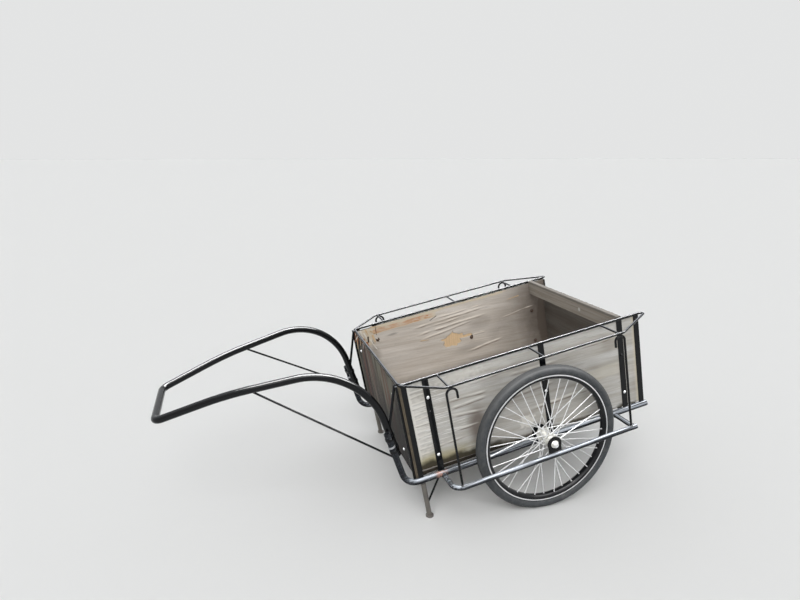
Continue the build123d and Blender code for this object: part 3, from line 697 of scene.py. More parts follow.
def board_block(bm, low, high, thin, cell, layers):
    """A closed board between two corners, cut into cells on its faces and layers across."""
    broad = [axis for axis in range(3) if axis != thin]
    size = high - low
    counts = [max(2, round(size[axis] / cell)) for axis in broad]
    direction = Vector((0, 0, 0))
    direction[thin] = 1.0
    columns = [Vector((0, 0, 0)), Vector((0, 0, 0)), direction]
    for column, axis in zip(columns, broad):
        column[axis] = size[axis]
    place = Matrix(columns).transposed().to_4x4()
    middle = (low + high) / 2
    middle[thin] = low[thin]
    bmesh.ops.create_grid(bm, x_segments=counts[0], y_segments=counts[1], size=0.5,
                          matrix=Matrix.Translation(middle) @ place)
    made = bmesh.ops.extrude_face_region(bm, geom=bm.faces[:])
    risen = [g for g in made["geom"] if isinstance(g, bmesh.types.BMVert)]
    bmesh.ops.translate(bm, vec=direction * size[thin], verts=risen)
    for layer in range(1, layers):
        cut = low.copy()
        cut[thin] += size[thin] * layer / layers
        bmesh.ops.bisect_plane(bm, geom=bm.verts[:] + bm.edges[:] + bm.faces[:], dist=0.001,
                               plane_co=cut, plane_no=direction)


def hill(value, middle, half_width):
    """A smooth hill, 1 at the middle."""
    return exp(-((value - middle) / half_width) ** 2)


def ledge(value, low, high):
    """0 below, 1 above, smooth between."""
    share = min(1.0, max(0.0, (value - low) / (high - low)))
    return share * share * (3 - 2 * share)


class BoardFace:
    """Relief and marks of one broad face: moves out along the normal, and mesh attributes.

    All marks are in millimetres, u along the grain and w across it:
    ridges of buckled veneer with painted light and shade: start u, end u, start w, end w, height, half width
    patches of peeled veneer: u, w, half length, half width
    knots: u, w, radius
    cracks: start u, start w, end u, end w, half width
    bands of tan stain: start u, end u, start w, end w, width, strength
    dark patches and pale scuffs: u, w, half length, half width, strength
    """

    ridges = patches = knots = bands = dirt = cracks = pale = ()

    def __init__(self, seed, along=0, waviness=0.5, **marks):
        self.seed, self.along, self.waviness = seed, along, waviness
        self.__dict__.update(marks)

    def creases(self, u, w):
        """Height of the buckled veneer along long low ridges, with painted light above and painted shade below
        each.
        """
        height, crease = 0.0, 0.0
        for start, end, w_start, w_end, ridge_height, ridge_width in self.ridges:
            share = (u - start) / (end - start)
            if 0 < share < 1:
                line = w_start + (w_end - w_start) * share
                line += 5.0 * noise.noise(Vector((u / 110.0, w_start, self.seed)))
                fade = min(1.0, 5 * share, 5 * (1 - share))
                swell = fade * (0.75 + 0.6 * noise.noise(Vector((u / 45.0, w_end, self.seed))))
                height += ridge_height * swell * hill(w, line, ridge_width)
                crease += swell * hill(w, line + 0.4 * ridge_width, ridge_width)
                crease -= swell * hill(w, line - 1.2 * ridge_width, 0.8 * ridge_width)
        return height, crease

    def holes(self, u, w):
        """Knots and short dark cracks."""
        hole = 0.0
        for middle_u, middle_w, radius in self.knots:
            away = sqrt(((u - middle_u) / 1.6) ** 2 + (w - middle_w) ** 2)
            hole = max(hole, 1.0 - ledge(away, radius * 0.5, radius * 1.2))
        for u0, w0, u1, w1, half_width in self.cracks:
            span = Vector((u1 - u0, w1 - w0))
            share = min(1.0, max(0.0, Vector((u - u0, w - w0)).dot(span) / span.length_squared))
            away = (Vector((u - u0, w - w0)) - span * share).length
            hole = max(hole, 0.8 * (1.0 - ledge(away, half_width * 0.5, half_width * 1.6)))
        return hole

    def marks(self, u, w):
        """Height and marks at a place: u runs along the grain and w across it."""
        lay = Vector((u / 260.0, w / 45.0, self.seed))
        height = self.waviness * noise.noise(lay)
        height += 0.25 * self.waviness * noise.noise(Vector((u / 60.0, w / 9.0, self.seed)))
        ridge, crease = self.creases(u, w)
        peel = 0.0
        for middle_u, middle_w, half_u, half_w in self.patches:
            away = sqrt(((u - middle_u) / half_u) ** 2 + ((w - middle_w) / half_w) ** 2)
            ragged = 0.5 * noise.fractal(Vector((u / 30.0, w / 22.0, self.seed)), 1.0, 2.0, 3)
            peel = max(peel, min(1.0, max(0.0, 1.5 - away + ragged)))
        hole = self.holes(u, w)
        tan = 0.0
        for start, end, w_start, w_end, height_up, strength in self.bands:
            line = w_start + (w_end - w_start) * (u - start) / (end - start)
            line += 5.0 * noise.noise(Vector((u / 70.0, 3.0, self.seed)))
            span = ledge(u, start, start + 60) * (1 - ledge(u, end - 25, end))
            tan = max(tan, strength * span * ledge(w, line - 5, line + 5)
                      * (1 - ledge(w, line + height_up - 6, line + height_up + 6)))
        dirt = 0.0
        for middle_u, middle_w, half_u, half_w, strength in self.dirt:
            away = sqrt(((u - middle_u) / half_u) ** 2 + ((w - middle_w) / half_w) ** 2)
            dirt = max(dirt, strength * (1 - ledge(away, 0.25, 1.0)))
        # Pale scuffs are added to the same values as the ridges' painted light.
        for middle_u, middle_w, half_u, half_w, strength in self.pale:
            away = sqrt(((u - middle_u) / half_u) ** 2 + ((w - middle_w) / half_w) ** 2)
            away += 0.4 * noise.noise(Vector((u / 14.0, w / 9.0, self.seed)))
            crease += strength * (1 - ledge(away, 0.3, 1.0))
        height += ridge - 1.1 * ledge(peel, 0.42, 0.56) - 1.5 * hole
        return height, {"peel": peel, "knot": hole, "tan": tan, "dirt": dirt, "crease": crease}


def dress_board(bm, low, high, thin, faces, edge_bite, bottom=None, corner_bite=None):
    """Shape a board's faces and edges, and give its mesh the marks that the materials read."""
    broad = [axis for axis in range(3) if axis != thin]
    size = high - low
    layers = {name: bm.verts.layers.float.new(name)
              for name in ("peel", "knot", "tan", "dirt", "crease", "across")}
    for vert in bm.verts:
        place = vert.co.copy()
        across = (place[thin] - low[thin]) / size[thin]
        vert[layers["across"]] = across
        if bottom is not None:
            floor = bottom(place.x)
            share = (place.z - low.z) / size.z
            place.z = floor + share * (high.z - floor)
        for axis in broad:
            for edge, inward in ((low[axis], 1), (high[axis], -1)):
                if abs(vert.co[axis] - edge) < 0.01:
                    other = broad[0] if axis == broad[1] else broad[1]
                    spot = Vector((place[other] / 16.0, across * 3, edge))
                    bite = noise.fractal(spot, 1.0, 2.0, 4)
                    place[axis] += inward * edge_bite * max(0.0, bite)
        if corner_bite is not None:
            place += corner_bite(place, across)
        for share, outward, face in ((0.0, -1, faces[0]), (1.0, 1, faces[1])):
            if abs(across - share) < 0.001:
                along, wide = broad if face.along == broad[0] else reversed(broad)
                height, marks = face.marks(place[along], place[wide])
                place[thin] += outward * height
                for name, value in marks.items():
                    vert[layers[name]] = value
        vert.co = place


def make_board(node, thin, coarseness, faces, bite, materials, bottom=None,
               corner_bite=None):
    """Build a board in its CAD node's place.

    Its materials are for the low face, the high face, the cut edges and, where there is a
    fourth, the lower edge.
    """
    low, high = bed_box(node)
    cell = bpy.context.scene.cart_sizes.board_cell * coarseness
    bm = bmesh.new()
    board_block(bm, low, high, thin, cell, PLIES)
    bm.normal_update()
    bmesh.ops.recalc_face_normals(bm, faces=bm.faces)
    for face in bm.faces:
        facing = face.normal[thin]
        face.material_index = 2 if abs(facing) < 0.5 else int(facing > 0)
    dress_board(bm, low, high, thin, faces, bite, bottom, corner_bite)
    bm.normal_update()
    for face in bm.faces:
        if len(materials) > 3 and face.material_index == 2 and face.normal.z < -0.4:
            face.material_index = 3
    make_piece(node + "_ply", bm, materials, replaces=(node,), sharp=50)


def side_board_bottom(x):
    """The lower edge of a side board, which drops to the rear."""
    return board_low.z * (board_high.x - x) / (board_high.x - board_low.x)


def broken_corner(place, across):
    """Splintered upper front corner of the right side board: plies broken back by turns."""
    near_top = ledge(place.z, 330, 392)
    near_front = ledge(place.x, 455, 505)
    teeth = noise.fractal(Vector((place.x / 7.0, round(across * PLIES) * 3.7, 1.0)), 1.0, 2.0, 3)
    drop = near_top * near_front * (10.0 + 16.0 * teeth)
    return Vector((0, 0, -max(0.0, min(4.5, drop))))


def make_side_boards():
    """Both side boards, weathered outside, ridged and patched inside."""
    outside = weathered_ply(
        "side_ply_outside", chosen("ply_outside"), seed=1.0, contrast=0.9, lean=3.0, torn=0.95,
        figure=0.45, sill=0.025, smudge=(0.36, 0.31, 0.28),
        stains=((22, 95, (0.36, 0.31, 0.13), 0.65, 250.0),
                (16, 44, (0.040, 0.034, 0.023), 0.97, 60.0),
                (2, 20, (0.050, 0.042, 0.027), 0.90, -700.0)))
    inside = weathered_ply(
        "side_ply_inside", chosen("ply_inside"), seed=4.0, contrast=0.85, lean=6.0, torn=0.25,
        figure=0.15, sill=0.025, smudge=(0.19, 0.17, 0.155),
        stains=((10, 80, (0.20, 0.17, 0.13), 0.6, -700.0),))
    # The second edge finish, at 0.3 of the edge colour, goes on the downward lower edges.
    edges = (ply_edge(), ply_edge("stained_edge", 0.3))
    front_ripples = tuple((468, 590, w + 7, w, 0.7, 3.0)
                          for w in (66, 92, 116, 148, 171, 204, 226, 250, 281, 302, 331, 352))
    outer_marks = BoardFace(
        1.7, waviness=0.45,
        ridges=front_ripples + (
            (200, 420, 266, 272, 0.8, 5), (190, 400, 244, 232, 1.0, 6),
            (210, 420, 186, 200, 1.0, 6), (260, 400, 130, 138, 0.8, 5),
            (60, 300, 330, 322, 0.8, 5), (-150, 120, 300, 306, 0.8, 6),
            (-120, 180, 210, 200, 1.0, 6), (-420, -180, 330, 322, 0.7, 5),
            (-300, 60, 120, 112, 0.8, 6), (300, 520, 90, 84, 0.6, 4)),
        bands=((-600, -500, -60, -60, 460, 0.44), (-480, -250, 150, 140, 60, 0.25)),
        # The first and fourth patches darken the board behind the wheel.
        dirt=((275, 120, 66, 130, 1.0), (-560, 60, 140, 110, 0.4), (470, 20, 130, 40, 0.35),
              (-20, 190, 280, 120, 0.22), (180, 300, 90, 26, 0.3), (-300, 190, 60, 80, 0.2),
              (60, 330, 60, 40, 0.3), (-390, 300, 50, 60, 0.25)),
        pale=((48, 60, 52, 40, 1.2), (560, 220, 120, 330, 0.5), (330, 372, 200, 40, 0.5),
              (550, 210, 7, 420, 1.2)))
    ridges = (
        # start, end, height at start, height at end, ridge height, ridge half width
        (-195, 170, 349, 347, 1.2, 4.0),
        (-205, 310, 337, 322, 1.8, 5.0),
        (-190, 300, 297, 276, 2.0, 5.5),
        (-120, 260, 283, 243, 1.6, 5.0),
        (-260, 0, 125, 101, 1.6, 5.5),
        (-150, -60, 187, 194, 1.0, 4.0),
        (-60, 230, 318, 304, 1.0, 4.0),
        (-480, -240, 262, 240, 0.8, 4.0),
    )
    right_inner = BoardFace(
        6.3, ridges=ridges, waviness=0.6,
        patches=((56, 198, 56, 36), (-22, 196, 40, 7)),
        knots=((-62, 186, 6), (473, 323, 7)),
        cracks=((470, 402, 473, 346, 2.2), (521, 346, 525, 318, 4.5), (165, 342, 126, 358, 2.4),
                (504, 322, 496, 300, 2.0)),
        bands=((110, 505, 358, 354, 28, 1.0), (-330, 572, 383, 383, 40, 0.42),
               (460, 572, 290, 300, 110, 0.42)),
        # The first three patches darken the rear part of the board.
        dirt=((-600, 200, 420, 620, 1.0), (-590, 150, 220, 480, 1.4),
              (-420, 150, 340, 340, 0.5), (-200, 0, 420, 90, 0.45),
              (388, 325, 40, 9, 0.5), (-130, 250, 120, 60, 0.3), (-240, 150, 130, 100, 0.35),
              (500, 240, 40, 60, 0.35), (-60, 120, 160, 40, 0.3)))
    left_inner = BoardFace(
        9.1, ridges=ridges[1:6], waviness=0.6, patches=((-210, 250, 40, 30),),
        knots=((260, 150, 7),), bands=((-400, 300, 376, 380, 30, 0.5),),
        dirt=((-520, 240, 240, 260, 0.8), (0, 10, 520, 90, 0.6)))
    make_board("side_board_left", 1, 1.0, (left_inner, outer_marks), 2.2,
               (inside, outside, *edges), side_board_bottom)
    make_board("side_board_right", 1, 1.0, (outer_marks, right_inner), 2.2,
               (outside, inside, *edges), side_board_bottom, broken_corner)


def chipped_top(place, across):
    """Chips along the top edge of the front board."""
    near_top = ledge(place.z, 370, 397)
    chips = noise.fractal(Vector((place.y / 18.0, across * 2.0, 4.0)), 1.0, 2.0, 4)
    corner = ledge(-place.y, 300, 400)
    return Vector((0, 0, -near_top * max(0.0, 6.0 * chips + 9.0 * corner * max(0.0, chips + 0.2))))


def make_front_board():
    """Front board: dark, streaked up and down, with a chipped top edge."""
    inside = weathered_ply(
        "front_ply_inside", (0.40, 0.36, 0.31), along=2, seed=3.0,
        stains=((0, 90, (0.13, 0.105, 0.08), 0.6, -900.0),))
    front_marks = BoardFace(3.3, along=2, waviness=0.7, patches=(
        (385, -345, 16, 34), (352, -372, 26, 12), (390, -240, 7, 30)))
    back_marks = BoardFace(5.9, along=2, patches=((380, -310, 16, 70),))
    make_board("front_board", 0, 1.0, (back_marks, front_marks), 2.0,
               (inside, streaked_ply(), ply_edge()), corner_bite=chipped_top)


def make_tail_and_floor():
    """Tail board and floor panel, scuffed inside and darker below, the tail board's inner face in painted shade.
    """
    base = dimmed(chosen("ply_inside"), 0.62)
    worn = weathered_ply("floor_ply", base, seed=7.0, contrast=1.1)
    tail = weathered_ply("tail_ply", base, along=1, seed=8.0, contrast=1.1,
                         stains=((0, 120, (0.15, 0.125, 0.09), 0.6, -900.0),))
    # The tail board's inner face is drawn at about a third of the base colour: painted shade behind the plank.
    tail_inside_shaded = weathered_ply("tail_ply_inside", dimmed(base, 0.36), along=1, seed=8.0,
                                contrast=1.1)
    below = weathered_ply("floor_ply_below", dimmed(base, 0.55), seed=9.0, contrast=1.2)
    rear_marks = BoardFace(2.2, along=1, dirt=((0, -20, 420, 90, 0.6),))
    inner_marks = BoardFace(8.4, along=1, patches=((150, 300, 60, 14),),
                            dirt=((0, -10, 420, 110, 0.7),))
    make_board("tail_board", 0, 1.4, (rear_marks, inner_marks), 2.0,
               (tail, tail_inside_shaded, ply_edge()))
    floor_marks = BoardFace(
        1.1, waviness=0.7, patches=((-180, 120, 90, 26), (260, -210, 60, 18)),
        # The last four patches darken the floor along its two side edges.
        dirt=((-400, 0, 260, 420, 0.55), (480, 0, 160, 420, 0.5), (0, 380, 560, 90, 0.6),
              (0, -380, 560, 90, 0.6), (0, 400, 900, 26, 1.2), (0, -400, 900, 26, 1.2)))
    make_board("floor_panel", 2, 2.0, (BoardFace(4.4, waviness=0.4), floor_marks), 1.0,
               (below, worn, ply_edge("floor_edge", 0.35)))


def make_plank():
    """Plank across the box: rounded worn arrises, a notched top edge and end checks."""
    low, high = bed_box("cross_plank")
    bm = bmesh.new()
    board_block(bm, low, high, 0, 5.0, PLIES)
    bmesh.ops.recalc_face_normals(bm, faces=bm.faces)
    wear = bm.verts.layers.float.new("wear")
    arris = 3.2
    for vert in bm.verts:
        place = vert.co.copy()
        top = ledge(place.z, high.z - 7, high.z - 1)
        edge = min(place.x - low.x, high.x - place.x)
        knocks = 0.5 + 0.5 * noise.fractal(Vector((place.y / 22.0, place.x, 2.0)), 1.0, 2.0, 3)
        if edge < 0.01:
            inward = 1 if vert.co.x < (low.x + high.x) / 2 else -1
            uneven = 0.45 * noise.noise(Vector((place.y / 70.0, place.z / 6.0, 1)))
            place.x += inward * (arris * top * knocks + uneven)
        if abs(vert.co.z - high.z) < 0.01:
            place.z -= 1.2 * knocks + (1.2 * knocks if edge < 0.01 else 0.0)
        if abs(vert.co.z - low.z) < 0.01 and edge < 0.01:
            place.z += 1.4 * knocks
        vert[wear] = top * (0.55 + 0.45 * noise.noise(Vector((place.y / 55.0, 2.0, place.x / 9.0))))
        vert.co = place
    make_piece("cross_plank_wood", bm, (plank_wood(),),
               replaces=("cross_plank",), sharp=45)


def splinter_finish(name, dark, pale):
    """Torn veneer whose colour varies along its fibres."""
    f = Finish(name)
    fibres = f.noise((26, 4, 26), 5, 0.6)
    return f.shade(f.blend(fibres, dark, pale), 0.8, 0.0, fibres, 0.4, 0.2)


def add_splinter(bm, number, start, run, out, width, lift, kind):
    """One curled strip of veneer that stands off a board."""
    side = run.cross(out).normalized() * width / 2
    made = bmesh.ops.create_grid(bm, x_segments=8, y_segments=2, size=0.5)
    for vert in made["verts"]:
        along, across = vert.co.x + 0.5, vert.co.y * 2
        taper = 1 - 0.75 * along ** 2 + 0.2 * noise.noise(Vector((along * 4, number, 0)))
        curl = lift * along ** 1.6 + 1.2 * across ** 2 + 0.4
        vert.co = start + run * along + side * across * taper + out * curl
    for face in {face for vert in made["verts"] for face in vert.link_faces}:
        face.material_index = kind


def make_splinters():
    """Curled strips of veneer at the broken corner, on the front board's top and on ridges."""
    fresh = chosen("fresh_veneer")
    finishes = (
        splinter_finish("splinter_tan", dimmed(fresh, 0.55), dimmed(fresh, 1.0)),
        splinter_finish("splinter_pale", (0.55, 0.50, 0.42), (0.85, 0.82, 0.76)),
        splinter_finish("splinter_orange", (0.30, 0.11, 0.05), (0.60, 0.27, 0.12)),
        splinter_finish("splinter_dark", (0.02, 0.016, 0.014), (0.09, 0.07, 0.055)),
    )
    inner_y = -BOARD_INNER_Y
    inside = (
        # start x, start z, end x, end z, width, stand-off, kind
        (540, 376, 531, 340, 11, 9, 1),
        (556, 392, 548, 350, 10, 7, 1),
        (528, 392, 520, 360, 8, 6, 0),
        (496, 352, 489, 312, 12, 8, 0),
        (537, 322, 524, 268, 14, 9, 2),
        (548, 345, 542, 296, 10, 7, 2),
        (560, 330, 552, 270, 9, 6, 3),
        (512, 332, 498, 290, 10, 8, 1),
        (506, 304, 484, 262, 10, 9, 1),
        (528, 290, 516, 240, 10, 8, 3),
        (544, 276, 530, 226, 11, 7, 2),
        (480, 334, 462, 306, 8, 6, 1),
        (505, 376, 472, 356, 7, 6, 0),
        (498, 398, 440, 386, 6, 5, 0),
        (240, 242, 190, 236, 5, 4, 0),
        (-380, 344, -300, 340, 5, 4, 0),
    )
    bm = bmesh.new()
    for number, (x0, z0, x1, z1, width, lift, kind) in enumerate(inside):
        add_splinter(bm, number, Vector((x0, inner_y, z0)), Vector((x1 - x0, 0, z1 - z0)),
                     Vector((0, 1, 0)), width, lift, kind)
    front_x = bed_box("front_board")[1].x
    outside = (
        # y, start z, reach, drift, width, kind
        (-391, 392, 22, 8, 9, 3),
        (-378, 396, 54, -12, 6, 2),
        (-368, 395, 30, 20, 8, 1),
        (-356, 388, 70, 10, 5, 0),
        (-347, 396, 26, -16, 10, 3),
        (-331, 396, 42, 14, 9, 2),
        (-322, 392, 20, -18, 7, 1),
        (-300, 396, 34, 8, 8, 3),
        (-287, 395, 58, -8, 5, 3),
        (-262, 396, 24, 22, 8, 0),
        (-236, 396, 36, -10, 6, 3),
        (-196, 396, 20, 14, 8, 1),
    )
    for number, (y, top, reach, drift, width, kind) in enumerate(outside):
        add_splinter(bm, number, Vector((front_x - 1, y, top)), Vector((2, drift, -reach)),
                     Vector((1, 0, 0)), width, 5.0, kind)
    bmesh.ops.recalc_face_normals(bm, faces=bm.faces)
    bmesh.ops.solidify(bm, geom=bm.faces[:], thickness=0.9)
    make_piece("veneer_splinters", bm, finishes, sharp=60)


# Wheels


def tyre_outline(tread_depth):
    """Outline of the tyre as (radius, offset) points, from one bead over the tread to the other."""
    crown = 12.0
    rib_count = 5
    half = [(WHEEL_RADIUS, 0.0)]
    rib = 2 * crown / (2 * rib_count - 1)
    offset = rib / 2
    high = True
    while offset < crown + 0.1:
        fall = 0.9 * (offset / crown) ** 2
        first = WHEEL_RADIUS - fall - (0 if high else tread_depth)
        second = WHEEL_RADIUS - fall - (tread_depth if high else 0)
        half.append((first, offset - 0.35))
        half.append((second, offset + 0.35))
        high = not high
        offset += rib
    wall_steps = 10
    middle = (WHEEL_RADIUS + RIM_RADIUS) / 2 - 1.5
    reach = WHEEL_RADIUS - 1.8 - middle
    start = 0.62
    for step in range(wall_steps + 1):
        turn = start + (pi * 0.93 - start) * step / wall_steps
        radius = middle + reach * cos(turn)
        offset = TYRE_HALF_WIDTH * sin(turn) ** 0.82
        ring = 0.45 if step in (4, 5) else 0.0
        half.append((radius, offset + ring))
    half.append((RIM_RADIUS - 3.0, RIM_HALF_WIDTH - 3.2))
    half.append((RIM_RADIUS - 12.0, RIM_HALF_WIDTH - 5.0))
    return half + [(radius, -offset) for radius, offset in reversed(half[1:])]


def on_both_wheels(*pieces):
    """Pieces on each wheel, drawn for the left one; with an ending, in their CAD nodes' place."""
    for side, body in BODIES.items():
        for node, ending, finish, slot, sharp, draw in pieces:
            bm = bmesh.new()
            draw(bm)
            bmesh.ops.scale(bm, vec=(1, SIDES[side], 1), verts=bm.verts)
            make_piece(node + side + ending, bm, (finish,), body,
                       (node + side,) if ending else (), sharp)


def around_axle(outline, steps):
    """A drawing that spins an outline of (radius, offset) points about the wheel's axle."""
    return lambda bm: spun(bm, outline, (0, WHEEL_Y, 0), (0, 1, 0), steps)


def both_ways(half):
    """A closed outline from one half, whose first and last points lie in the middle."""
    return [*half, *((radius, -offset) for radius, offset in reversed(half[1:-1]))]


def stem(bm, foot, direction, stops, sides):
    """A round stem through stops of (distance from the foot, radius)."""
    swept(bm, [foot + direction * away for away, _ in stops], [r for _, r in stops], sides)


def make_tyres():
    """Tyres with five ribs round the tread and moulded rings on the walls."""
    outline = tyre_outline(bpy.context.scene.cart_sizes.tread_depth)
    on_both_wheels(("tyre_", "_rubber", tyre_rubber(), "tyre_rubber", 38,
                    around_axle(outline, 120)))


def make_rims():
    """Rims with rolled lips, a stepped wall and a valve stem."""
    lip = 1.5
    well = RIM_RADIUS - 18.0
    base = well - 2.5
    half = (
        # radius, offset, from the middle of the inner face out and back along the well
        (base, 0.0),
        (base, 8.0),
        (base + 1.2, 10.4),
        (well + 3.2, RIM_HALF_WIDTH - 1.6),
        (well + 5.0, RIM_HALF_WIDTH - 0.6),
        (RIM_RADIUS - 5.2, RIM_HALF_WIDTH - 0.4),
        (RIM_RADIUS - 3.4, RIM_HALF_WIDTH),
        (RIM_RADIUS - lip, RIM_HALF_WIDTH),
        (RIM_RADIUS - 0.4, RIM_HALF_WIDTH - 0.4),
        (RIM_RADIUS, RIM_HALF_WIDTH - lip),
        (RIM_RADIUS - 0.4, RIM_HALF_WIDTH - 2.4),
        (RIM_RADIUS - lip, RIM_HALF_WIDTH - 2.6),
        (well + 4.0, RIM_HALF_WIDTH - 3.2),
        (well, 11.0),
        (well, 0.0),
    )
    turn = radians(205)
    inward = Vector((cos(turn), 0, sin(turn)))
    stops = ((base + 1.0, 4.2), (base - 1.5, 4.2), (base - 1.6, 3.0), (base - 20.0, 3.0),
             (base - 20.2, 3.9), (base - 30.0, 3.7), (base - 32.0, 2.6))
    on_both_wheels(
        ("wheel_rim_", "_painted", rim_paint(), "rim_paint", 40,
         around_axle(both_ways(half), 144)),
        ("valve_stem_", "", zinc_plate("valve_brass", 0.25), "zinc", 40,
         lambda bm: stem(bm, Vector((0, WHEEL_Y, 0)), inward, stops, 12)))


SPOKES = 36
SPOKE_CROSS_PITCHES = 6
FLANGE_OFFSET = 28.0
FLANGE_THICKNESS = 3.0
FLANGE_HOLE_RADIUS = 28.0
SPOKE_RIM_OFFSET = 3.5
SPOKE_RIM_STAGGER = 1.6


def draw_spokes(bm):
    """Four spokes, one of each kind, with heads, elbows and nipples, spun nine times round."""
    sizes = bpy.context.scene.cart_sizes
    wire, nipple = sizes.spoke_radius, sizes.nipple_length
    pitch = 2 * pi / SPOKES
    rim_seat = RIM_RADIUS - 20.7
    seat = FLANGE_THICKNESS / 2 + wire + 0.15
    middle = Vector((0, WHEEL_Y, 0))
    stops = ((nipple + 0.2, wire + 0.25), (nipple, 1.9), (nipple - 1.2, 2.1), (3.2, 2.15),
             (3.0, 2.9), (0.0, 3.0))
    for number in range(4):
        flange = 1 if number % 2 else -1
        outside = 1 if number < 2 else -1
        hub_turn = number * pitch
        rim_turn = hub_turn + outside * SPOKE_CROSS_PITCHES * pitch
        hole = Vector((FLANGE_HOLE_RADIUS * cos(hub_turn), 0, FLANGE_HOLE_RADIUS * sin(hub_turn)))
        run_y = flange * (FLANGE_OFFSET + outside * seat)
        head_y = flange * (FLANGE_OFFSET - outside * (FLANGE_THICKNESS / 2 + 1.6))
        elbow = middle + hole + Vector((0, run_y, 0))
        head = middle + hole + Vector((0, head_y, 0))
        rim_y = flange * (SPOKE_RIM_OFFSET + outside * SPOKE_RIM_STAGGER)
        end = middle + Vector((rim_seat * cos(rim_turn), rim_y, rim_seat * sin(rim_turn)))
        run = (end - elbow).normalized()
        through = (elbow - head).normalized()
        path = [head, head + through * 0.9, head + through * 1.0, elbow - through * 1.4,
                elbow - through * 0.3 + run * 0.5, elbow + run * 2.0, end - run * (nipple + 1.0)]
        swept(bm, path, [1.6, 2.3, wire, wire, wire, wire, wire], 8)
        stem(bm, end, -run, stops, 8)
    turns = SPOKES // 4
    bmesh.ops.spin(bm, geom=bm.verts[:] + bm.edges[:] + bm.faces[:], cent=middle,
                   axis=(0, -1, 0), angle=2 * pi * (turns - 1) / turns, steps=turns - 1,
                   use_duplicate=True)


def make_spokes():
    """Laced spokes of both wheels."""
    finish = zinc_plate("spoke_zinc", 0.25, 0.2, 0.3, (1.1, 1.1, 1.1))
    on_both_wheels(("wheel_spokes_", "_wire", finish, "zinc", 40, draw_spokes))


def make_hubs():
    """Hubs with rounded flanges, a waisted barrel and grease caps."""
    half = (
        # radius, offset, from the barrel's middle out to the end face
        (13.5, 0.0), (14.2, 12.0), (16.0, 20.0), (19.0, 25.2), (24.0, 26.4),
        (FLANGE_RADIUS - 1.0, 26.5), (FLANGE_RADIUS, 27.3), (FLANGE_RADIUS, 28.7),
        (FLANGE_RADIUS - 1.0, 29.5), (24.0, 29.7), (20.5, 31.0), (19.6, 33.0), (19.6, 43.0),
        (20.0, 43.4), (20.0, 50.8), (18.6, HUB_HALF_LENGTH - 0.6), (17.0, HUB_HALF_LENGTH),
        (7.6, HUB_HALF_LENGTH), (7.2, HUB_HALF_LENGTH - 0.8), (7.2, 0.0),
    )
    finish = zinc_plate("hub_zinc", 0.42, 0.6, 0.3, (0.84, 0.82, 0.76))
    on_both_wheels(("wheel_hub_", "_zinc", finish, "zinc", 35, around_axle(both_ways(half), 48)))


# Fastenings

BOLT_HEAD_HEIGHT = 4.2
STRUT_RADIUS = 4.2
HOOK_RADIUS = 5.0
LEG_RADIUS = 10.85
INNER_PLATE_Y, OUTER_PLATE_Y = 415.0, 542.0
PLATE_HALF_THICKNESS = 2.0


def dome(radius, foot, top, steps):
    """Outline of a round head as (radius, offset) points, from its rim up to its middle."""
    turns = [pi / 2 * step / steps for step in range(steps)]
    return [*((radius * cos(t), foot + (top - foot) * sin(t)) for t in turns), (0.0, top)]


def dome_bolt(bm, place, outward, head_radius):
    """A coach bolt's domed head on a washer."""
    washer = head_radius * 1.18
    outline = [(0.0, 0.0), (washer, 0.0), (washer, 1.2), (washer - 0.4, 1.6)]
    outline += dome(head_radius, 1.6, 1.6 + BOLT_HEAD_HEIGHT, 6)
    spun(bm, outline, place, outward, 20, closed=False)


def hex_nut(bm, place, outward, across_flats, height):
    """A chamfered six-sided nut standing on a face."""
    corner = across_flats / sqrt(3)
    made = bmesh.ops.create_cone(bm, cap_ends=True, segments=6, radius1=corner, radius2=corner,
                                 depth=height, matrix=aligned(place, outward)
                                 @ Matrix.Translation((0, 0, height / 2)))
    edges = {e for v in made["verts"] for e in v.link_edges}
    bmesh.ops.bevel(bm, geom=list(edges), offset=0.6, offset_type="OFFSET", segments=2,
                    profile=0.5, affect="EDGES", material=-1)


def make_bolts():
    """Coach bolts through the posts and boards, with washers and nuts on the far side."""
    sizes = bpy.context.scene.cart_sizes
    finish = zinc_plate("bolt_zinc", 0.3, 0.3, 0.6)
    side_bolts = (
        # x, z of the bolts through the side posts
        (POST_XS[0], 318), (POST_XS[0], 49), (POST_XS[1], 178), (POST_XS[2], 232), (POST_XS[2], 46),
    )
    bm = bmesh.new()
    nuts = bmesh.new()
    black = bmesh.new()
    for x, z in side_bolts:
        heads = black if (x, z) == side_bolts[3] else bm
        dome_bolt(heads, Vector((x, POST_OUTER_Y, z)), (0, 1, 0), sizes.bolt_radius)
        spun(nuts, ((0, 0), (10, 0), (10, 1.6), (0, 1.6)), Vector((x, BOARD_INNER_Y, z)),
             (0, -1, 0), 20, closed=False)
        hex_nut(nuts, Vector((x, BOARD_INNER_Y - 1.6, z)), (0, -1, 0), 11, 5)
    front_face = bed_box("front_board")[1].x
    post_low, post_high = bed_box("front_posts")
    y = post_high.y - POST_WIDTH / 2
    for z in (322, 52):
        dome_bolt(bm, Vector((front_face, y, z)), (1, 0, 0), sizes.bolt_radius)
        hex_nut(nuts, Vector((post_low.x, y, z)), (-1, 0, 0), 11, 5)
    for name, part, material in (("box_bolts", bm, finish), ("box_nuts", nuts, rusty_zinc()),
                                 ("painted_bolts", black, frame_paint("bolt_paint"))):
        both_hands(part)
        bmesh.ops.remove_doubles(part, verts=part.verts, dist=0.005)
        make_piece(name, part, (material,), sharp=40)


